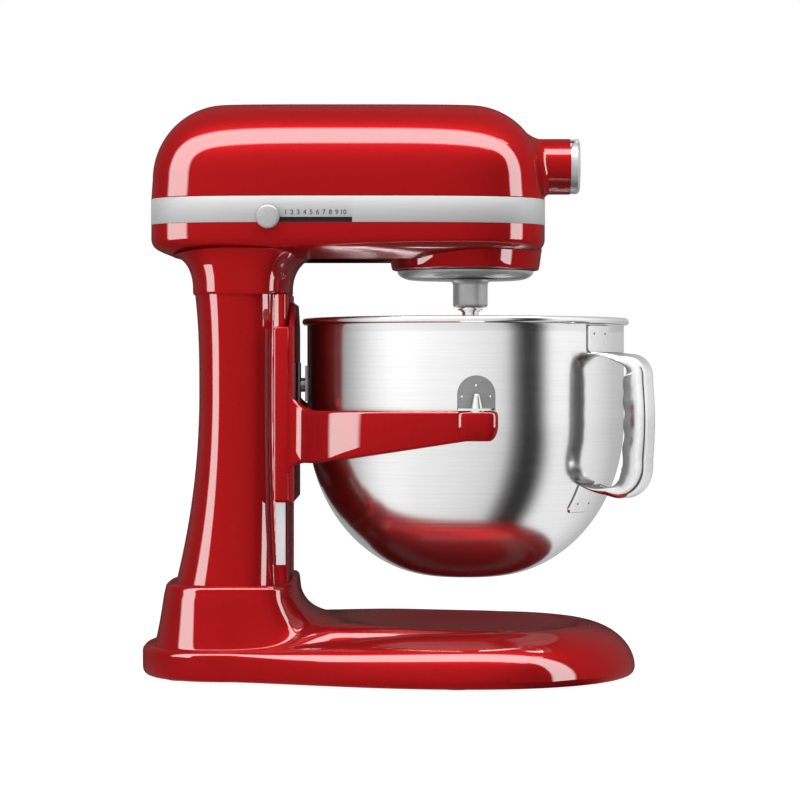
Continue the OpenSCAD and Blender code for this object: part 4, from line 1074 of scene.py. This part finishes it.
upper_ends = (handle_high - 1.5 * MM, bowl_top - 3.4 * MM)
lower_ends = (handle_low - 11 * MM, handle_low + 8.5 * MM)
upper_tab = bowl_tab("handle_upper_tab", *upper_ends, 12.8 * MM, 12.8 * MM, 4 * MM)
lower_tab = bowl_tab("handle_lower_tab", *lower_ends, 14.0 * MM, 12.0 * MM, 4 * MM)
for piece in (grip, upper_tab, lower_tab):
    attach(piece, "mixing_bowl")
    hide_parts("bowl_handle")

# Spot welds leave two small round dimples on each tab, square to the bowl's wall.
weld_tint = (600, (0.22, 0.22, 0.22), (0.32, 0.32, 0.32))
weld_grey = mottled("weld_grey", weld_tint, Metallic=1.0, Roughness=0.4)
weld_profile = np.array([(0.01, 0), (1.0, 0), (0.9, 0.25), (0.01, 0.3)]) * MM
weld_proud = 1.55 * MM
weld_places = [(offset, height) for height in (248.5, 127.5) for offset in (-7, 7)]
for number, (offset, height) in enumerate(weld_places):
    z = height * MM
    wall, drop = bowl_radius_at(z)
    angle = handle_turn + offset * MM / wall
    radius = wall + weld_proud
    slope = np.arctan2(drop * (bowl_radius - bowl_flat) / bowl_round, np.sqrt(1 - drop**2))
    along = (-np.sin(angle), np.cos(angle), 0)
    upwards = (-np.sin(slope) * np.cos(angle), -np.sin(slope) * np.sin(angle), -np.cos(slope))
    outwards = (np.cos(slope) * np.cos(angle), np.cos(slope) * np.sin(angle), -np.sin(slope))
    spot = turned(f"spot_weld_{number}", weld_profile, (0, 0, 0), weld_grey, around=24)
    placed = vertices_of(spot.data) @ np.array([along, upwards, outwards])
    placed += (bowl_axis_x + radius * np.cos(angle), radius * np.sin(angle), z)
    spot.data.vertices.foreach_set("co", placed.ravel())
    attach(spot, "mixing_bowl")

# ---- Bowl support ----
# One enamelled casting: a plate and two side flanges that slide on the column, and an arm on each side
# that turns out from its flange and follows the bowl to a thicker pad with a pin in it.
flange_in, flange_out = 57.6 * MM, 62.6 * MM
flange_low, flange_high = 128.2 * MM, 253.8 * MM
arm_top_z = 194 * MM
pin_x = 53 * MM
pads_y = 126.4 * MM
arm_wall = 9 * MM


def arm_line(shift, bend_x, flange_y):
    """Plan of one arm as (x, y), moved inwards by shift: flush with the flange, a quadratic curve out
    of it, then an ellipse from 10 degrees to its end at the pad."""
    turn_y, reach, out_y = 66 * MM, 119 * MM, 130 * MM
    a = sweep(10, 90, 56)
    ellipse_y = turn_y + (out_y - turn_y - shift) * np.sin(a)
    ellipse = np.stack([pin_x - (reach - shift) * np.cos(a), ellipse_y], -1)
    t = np.linspace(0, 1, 26)[:-1, None]
    bend = (1 - t) ** 2 * np.array([-81.5 * MM, flange_y]) + 2 * t * (1 - t) * np.array([bend_x, flange_y])
    bend = bend + t**2 * ellipse[0]
    inside = np.array([[-84 * MM, flange_y - 0.5 * MM * np.sign(0.001 - shift)]])
    return np.vstack([inside, bend, ellipse])


def arm_heights(x):
    """Top and underside of the arm at x: the underside rises straight from root to pad, and both
    spread up and down the flange by a quarter ellipse."""
    root_low, tip_low = 156.5 * MM, 174 * MM
    root_x, tip_x = -66 * MM, pin_x - 2 * MM
    share = np.clip((x - root_x) / (tip_x - root_x), 0, 1)
    above = np.clip((-62.5 * MM - x) / (17.2 * MM), 0, 1)
    below = np.clip((-70.5 * MM - x) / (9.2 * MM), 0, 1)
    high = arm_top_z + 19 * MM * (1 - np.sqrt(1 - above**2))
    low = root_low + (tip_low - root_low) * share - 9 * MM * (1 - np.sqrt(1 - below**2))
    return low, high


def rounded_ring(low, high, wide, radius, count=6):
    """Closed section between two heights, from 0 to wide, its corners quarter circles, as (offset, z)."""
    inner, outer, under, over = radius, wide - radius, low + radius, high - radius
    corners = [(outer, over, 90), (outer, under, 0), (inner, under, -90), (inner, over, -180)]
    return [
        (offset + radius * np.cos(t), z + radius * np.sin(t))
        for offset, z, start in corners
        for t in sweep(start, start - 90, count)
    ]


def arm_rings(side):
    """Rounded sections carried along the arm's plan from inside the flange to inside the pad."""
    outer = arm_line(0, -69 * MM, flange_out + 0.06 * MM)
    inner = arm_line(arm_wall, -61.6 * MM, flange_in + 0.1 * MM)
    low, high = arm_heights(outer[:, 0])
    rings = []
    for o, i, bottom, top in zip(outer, inner, low, high):
        wide = np.linalg.norm(o - i)
        section = rounded_ring(bottom, top, wide, min(2.2 * MM, 0.4 * wide))
        toward = (o - i) / wide
        rings.append([(i[0] + toward[0] * s, side * (i[1] + toward[1] * s), z) for s, z in section])
    return np.array(rings)


def pad_rings(side):
    """Pad seen from above as a squared oval: straight sides that turn in below as a quarter ellipse,
    and a rounded upper edge."""
    turn_in, straight_from, foot_z = 6.5 * MM, 184.5 * MM, 173.2 * MM
    a = sweep(90, 0, 14)
    sides = list(zip(turn_in * (1 - np.cos(a)), straight_from - (straight_from - foot_z) * np.sin(a)))
    upper = [(0, 190), (0.3, 192.2), (0.9, 193.3), (1.8, 193.9), (3, 194)]
    sides += [(inset * MM, z * MM) for inset, z in upper]
    rings = []
    for inset, z in sides:
        back, front = pin_x - 14.2 * MM + inset, pin_x + 14.9 * MM - inset
        line = squared_oval(back, front, pin_x, 8.6 * MM - 0.8 * inset, 3, 3, full_turn(96))
        rings.append(level_ring(line + (0, side * (pads_y - 1.5 * MM)), z))
    return np.array(rings)


def flange_rings(side):
    """Side flange: a bar whose two outer edges are quarter circles, bevelled at its foot and top."""
    back, front, edge = -90.2 * MM, -79.0 * MM, 1.8 * MM
    turn = sweep(0, 90, 7)
    levels = [(0, 1.8), (1.8, 0)]
    heights = [(flange_low + up * MM, inset * MM) for up, inset in levels]
    heights += [(flange_high - down * MM, inset * MM) for down, inset in ((2.2, 0), (0.8, 0.7), (0, 2))]
    rings = []
    for z, inset in heights:
        out = flange_out - inset - edge
        front_edge = np.stack([front - edge + edge * np.cos(turn), out + edge * np.sin(turn)], -1)
        back_edge = np.stack([back + inset + edge - edge * np.sin(turn), out + edge * np.cos(turn)], -1)
        outline = np.vstack([[(back + inset, flange_in), (front, flange_in)], front_edge, back_edge])
        rings.append(level_ring(outline * (1, side), z))
    return np.array(rings)


def plate_rings():
    """Front plate of the slide with a raised, slanted crown, its edges bevelled."""
    one_side = np.array([(62.4, 128.2), (62.4, 254), (60, 256.5), (33, 271.4)]) * MM
    outline = np.vstack([one_side[:1] * (-1, 1), one_side, one_side[:0:-1] * (-1, 1)])
    normal = inward(outline)
    rings = []
    for x, inset in [(-79.1, 0), (-76.6, 0), (-75.3, 1.3)]:
        line = outline + normal * (inset * MM)
        rings.append(np.column_stack([np.full(len(line), x * MM), line]))
    return np.array(rings)


support_pieces = [skin("support_plate", plate_rings(), red_enamel, 30)]
for side, label in ((-1, "near"), (1, "far")):
    support_pieces += [
        skin(f"support_flange_{label}", flange_rings(side), red_enamel, 30),
        skin(f"support_arm_{label}", arm_rings(side), red_enamel, 40),
        skin(f"support_pad_{label}", pad_rings(side), red_enamel, 40),
    ]
for piece in support_pieces:
    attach(piece, "bowl_carrier")
    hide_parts("bowl_support")

# ---- Bowl pins and brackets ----
# Polished cone pins stand on the pads. The bowl's brackets are D-shaped sheets, riveted to its wall,
# with a foot turned outwards that drops over the pin.
pin_base = [(0.01, 193), (6.6, 193), (6.6, 194.9), (6.0, 195.4), (4.4, 195.4), (4.4, 197.6), (2.4, 204.8)]
pin_tip = arc(1.2 * MM, 204.8 * MM, 1.2 * MM, 0, 90, 6)
pin_profile = np.vstack([np.array(pin_base) * MM, pin_tip, [(nearly_0, 206 * MM)]])
pin_tint = (500, (0.72, 0.72, 0.72), (0.80, 0.80, 0.80))
pin_steel = mottled("pin_steel", pin_tint, (140, 0.12, 0.2), Metallic=1.0)
bracket_grey = finish_material("bracket_grey", Metallic=0.8)
bracket_grain = noise(bracket_grey, 60, stretch=(1, 1, 10))
tinted(bracket_grey, bracket_grain, (0.26, 0.26, 0.26), (0.31, 0.31, 0.31))
spread(bracket_grey, bracket_grain, 0.42, 0.52)
bracket_proud = 1.6 * MM


def off_bowl(x, proud):
    """Distance from the mixer's middle plane of a face that lies proud of the bowl's wall, at x."""
    return np.sqrt((bowl_radius + proud) ** 2 - (x - bowl_axis_x) ** 2)


def bracket_faces(side):
    """Outer and inner face of a D-shaped sheet lying on the bowl's wall: grids over (height, offset)
    of a half disc standing on a rectangle."""
    half, low, spring = 13.3 * MM, 194.5 * MM, 205.5 * MM
    offset = half * np.sin(np.linspace(-1, 1, 61) * np.pi / 2)
    top = spring + np.sqrt(np.clip(half**2 - offset**2, 0, None))
    z = low + (top - low) * np.linspace(0, 1, 24)[:, None]
    x = pin_x + np.broadcast_to(offset, z.shape)
    return [np.stack([x, side * off_bowl(x, proud), z], -1) for proud in (bracket_proud, 0.1 * MM)]


def foot_faces(side):
    """Upper and lower face of the bracket's foot, from the bowl's wall out past the pin."""
    across = np.linspace(-1, 1, 25)
    x = pin_x + 13.0 * MM * across
    start = side * off_bowl(x, 0.2 * MM)
    end = side * (pads_y + 6.6 * MM - 2.0 * MM * across**4)
    y = start + (end - start) * np.linspace(0, 1, 8)[:, None]
    x = np.broadcast_to(x, y.shape)
    return [np.stack([x, y, np.full_like(y, z * MM)], -1) for z in (195.95, 194.45)]


rivet_profile = np.array([(0.01, -0.2), (1.0, -0.2), (0.95, 0.25), (0.6, 0.45), (0.01, 0.5)]) * MM
for side, label in ((-1, "near"), (1, "far")):
    pin = turned(f"bowl_pin_{label}", pin_profile, (pin_x, side * pads_y, 0), pin_steel, around=64)
    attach(pin, "bowl_carrier")
    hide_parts("bowl_pins")
    pieces = [
        closed_sheet(f"bracket_sheet_{label}", *bracket_faces(side), bracket_grey),
        closed_sheet(f"bracket_foot_{label}", *foot_faces(side), polished),
    ]
    for number, (dx, z) in enumerate([(-9.9, 203.9), (0, 211.7), (9.9, 203.9)]):
        x = pin_x + dx * MM
        name = f"bracket_rivet_{label}_{number}"
        place = (x, side * off_bowl(x, bracket_proud), z * MM)
        pieces.append(turned(name, rivet_profile * (1, side), place, pin_steel, around=24, axis="y"))
    for piece in pieces:
        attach(piece, "mixing_bowl")
        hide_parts("bowl_brackets")

# ---- Planetary ----
# A grey enamelled disc that closes the drum and turns under it, with a boss off its middle, faired in
# by a hollow curve, that carries the beater shaft.
grey_enamel = finish_material("grey_enamel", Roughness=0.34, Metallic=0.35, Coat_Weight=0.4)
tinted(grey_enamel, noise(grey_enamel, 900, detail=2), (0.52, 0.52, 0.525), (0.58, 0.58, 0.585))
bumped(grey_enamel, noise(grey_enamel, 220, detail=1), 0.04, 0.0002)
shaft_low, shaft_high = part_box("beater_shaft")
boss_x = (shaft_low.x + shaft_high.x) / 2
boss_y = (shaft_low.y + shaft_high.y) / 2


def planetary_rings():
    """Rings from the disc's top down: a quarter ellipse at the disc's edge, a flat whose rings slide
    from the disc's axis to the boss, a hollow quarter circle, and the boss to its rounded foot."""
    angles = full_turn(200)

    def ring(radius, z, share=1):
        x = bowl_axis_x + (boss_x - bowl_axis_x) * share
        line = np.stack([x + radius * np.cos(angles), boss_y * share + radius * np.sin(angles)], -1)
        return level_ring(line, z)

    disc_r = (planetary_high.x - planetary_low.x) / 2 - 0.1 * MM
    under = disc_top - disc_depth
    edge_r, boss_r, fillet, foot = 12 * MM, 12.6 * MM, 4 * MM, planetary_low.z
    belly = 0.7 * MM
    rings = [ring(disc_r - inset * MM, disc_top + up * MM, 0) for inset, up in ((1.4, 0.5), (0.2, 0.3))]
    for a in sweep(0, 90, 14):
        radius, z = disc_r - edge_r * (1 - np.cos(a)), disc_top - (disc_depth - belly) * np.sin(a)
        rings.append(ring(radius, z, 0))
    for share in np.linspace(0, 1, 8)[1:]:
        radius = disc_r - edge_r + (boss_r + fillet - disc_r + edge_r) * share
        rings.append(ring(radius, under + belly * (1 - share), share))
    for a in sweep(0, 90, 9)[1:]:
        rings.append(ring(boss_r + fillet * (1 - np.sin(a)), under - fillet * (1 - np.cos(a))))
    rings.append(ring(boss_r, foot + 2.2 * MM))
    for a in sweep(0, 90, 7)[1:]:
        rings.append(ring(boss_r - 2.0 * MM * (1 - np.cos(a)), foot + 2.2 * MM - 2.0 * MM * np.sin(a)))
    return np.array(rings + [ring(6.6 * MM, foot + 0.2 * MM)])


planetary = skin("planetary_disc", planetary_rings(), grey_enamel, crease=40)
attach(planetary, "planetary")
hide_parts("planetary_housing")

# ---- Inner and small pieces ----
# Shafts, gears, bearings, motor, board and fasteners keep their turned and cut shapes, and get the
# finish of each: ground steel, bronze, stacked sheet, black moulding, green laminate.
shaft_tint = (380, (0.66, 0.66, 0.67), (0.76, 0.76, 0.77))
shaft_steel = mottled("shaft_steel", shaft_tint, (90, 0.14, 0.24), Metallic=1.0)
gear_tint = (240, (0.38, 0.38, 0.39), (0.50, 0.50, 0.51))
gear_steel = mottled("gear_steel", gear_tint, (500, 0.30, 0.45), Metallic=1.0)
bronze_tint = (700, (0.52, 0.33, 0.13), (0.64, 0.43, 0.19))
bronze = mottled("bronze", bronze_tint, (150, 0.32, 0.46), Metallic=1.0)
motor_iron = finish_material("motor_iron", Metallic=0.9)
sheets = noise(motor_iron, 1, stretch=(1800, 2, 2), detail=1)
tinted(motor_iron, sheets, (0.16, 0.16, 0.17), (0.30, 0.30, 0.31))
spread(motor_iron, sheets, 0.38, 0.55)
board_tint = (200, (0.015, 0.10, 0.04), (0.03, 0.16, 0.06))
board_green = mottled("board_green", board_tint, Roughness=0.4)
satin_rail = finish_material("satin_rail", Metallic=0.9)
rail_grain = noise(satin_rail, 60, stretch=(8, 8, 0.5))
tinted(satin_rail, rail_grain, (0.62, 0.62, 0.63), (0.72, 0.72, 0.73))
spread(satin_rail, rail_grain, 0.26, 0.36)

pieces_in = {
    foot_rubber: ["feet"],
    gear_steel: [
        "base_bolts", "head_bolts", "motor_saddles", "shaft_bearings", "ring_gear", "motor_pinion",
        "crown_gear", "beater_pinion", "hub_gear", "latch_spring", "lift_yoke", "lift_crank",
        "bowl_rear_bracket",
    ],
    satin_rail: ["guide_rails", "lift_lever"],
    black_plastic: ["cord_grommet", "motor_fan", "hub_knob", "speed_slide", "lift_knob"],
    board_green: ["speed_board"],
    motor_iron: ["motor_stator", "motor_rotor"],
    red_enamel: ["hub_collar"],
    bronze: ["hub_bush", "lift_bush", "beater_bushes"],
    cap_silver: ["hub_hinge_block", "hub_cover"],
    shaft_steel: [
        "hub_hinge_pin", "centre_shaft", "beater_shaft", "beater_pin", "beater_collar",
        "hub_drive_shaft", "hub_knob_screw", "lift_shaft",
    ],
}
for material, names in pieces_in.items():
    for name in names:
        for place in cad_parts[name].material_slots:
            place.material = material
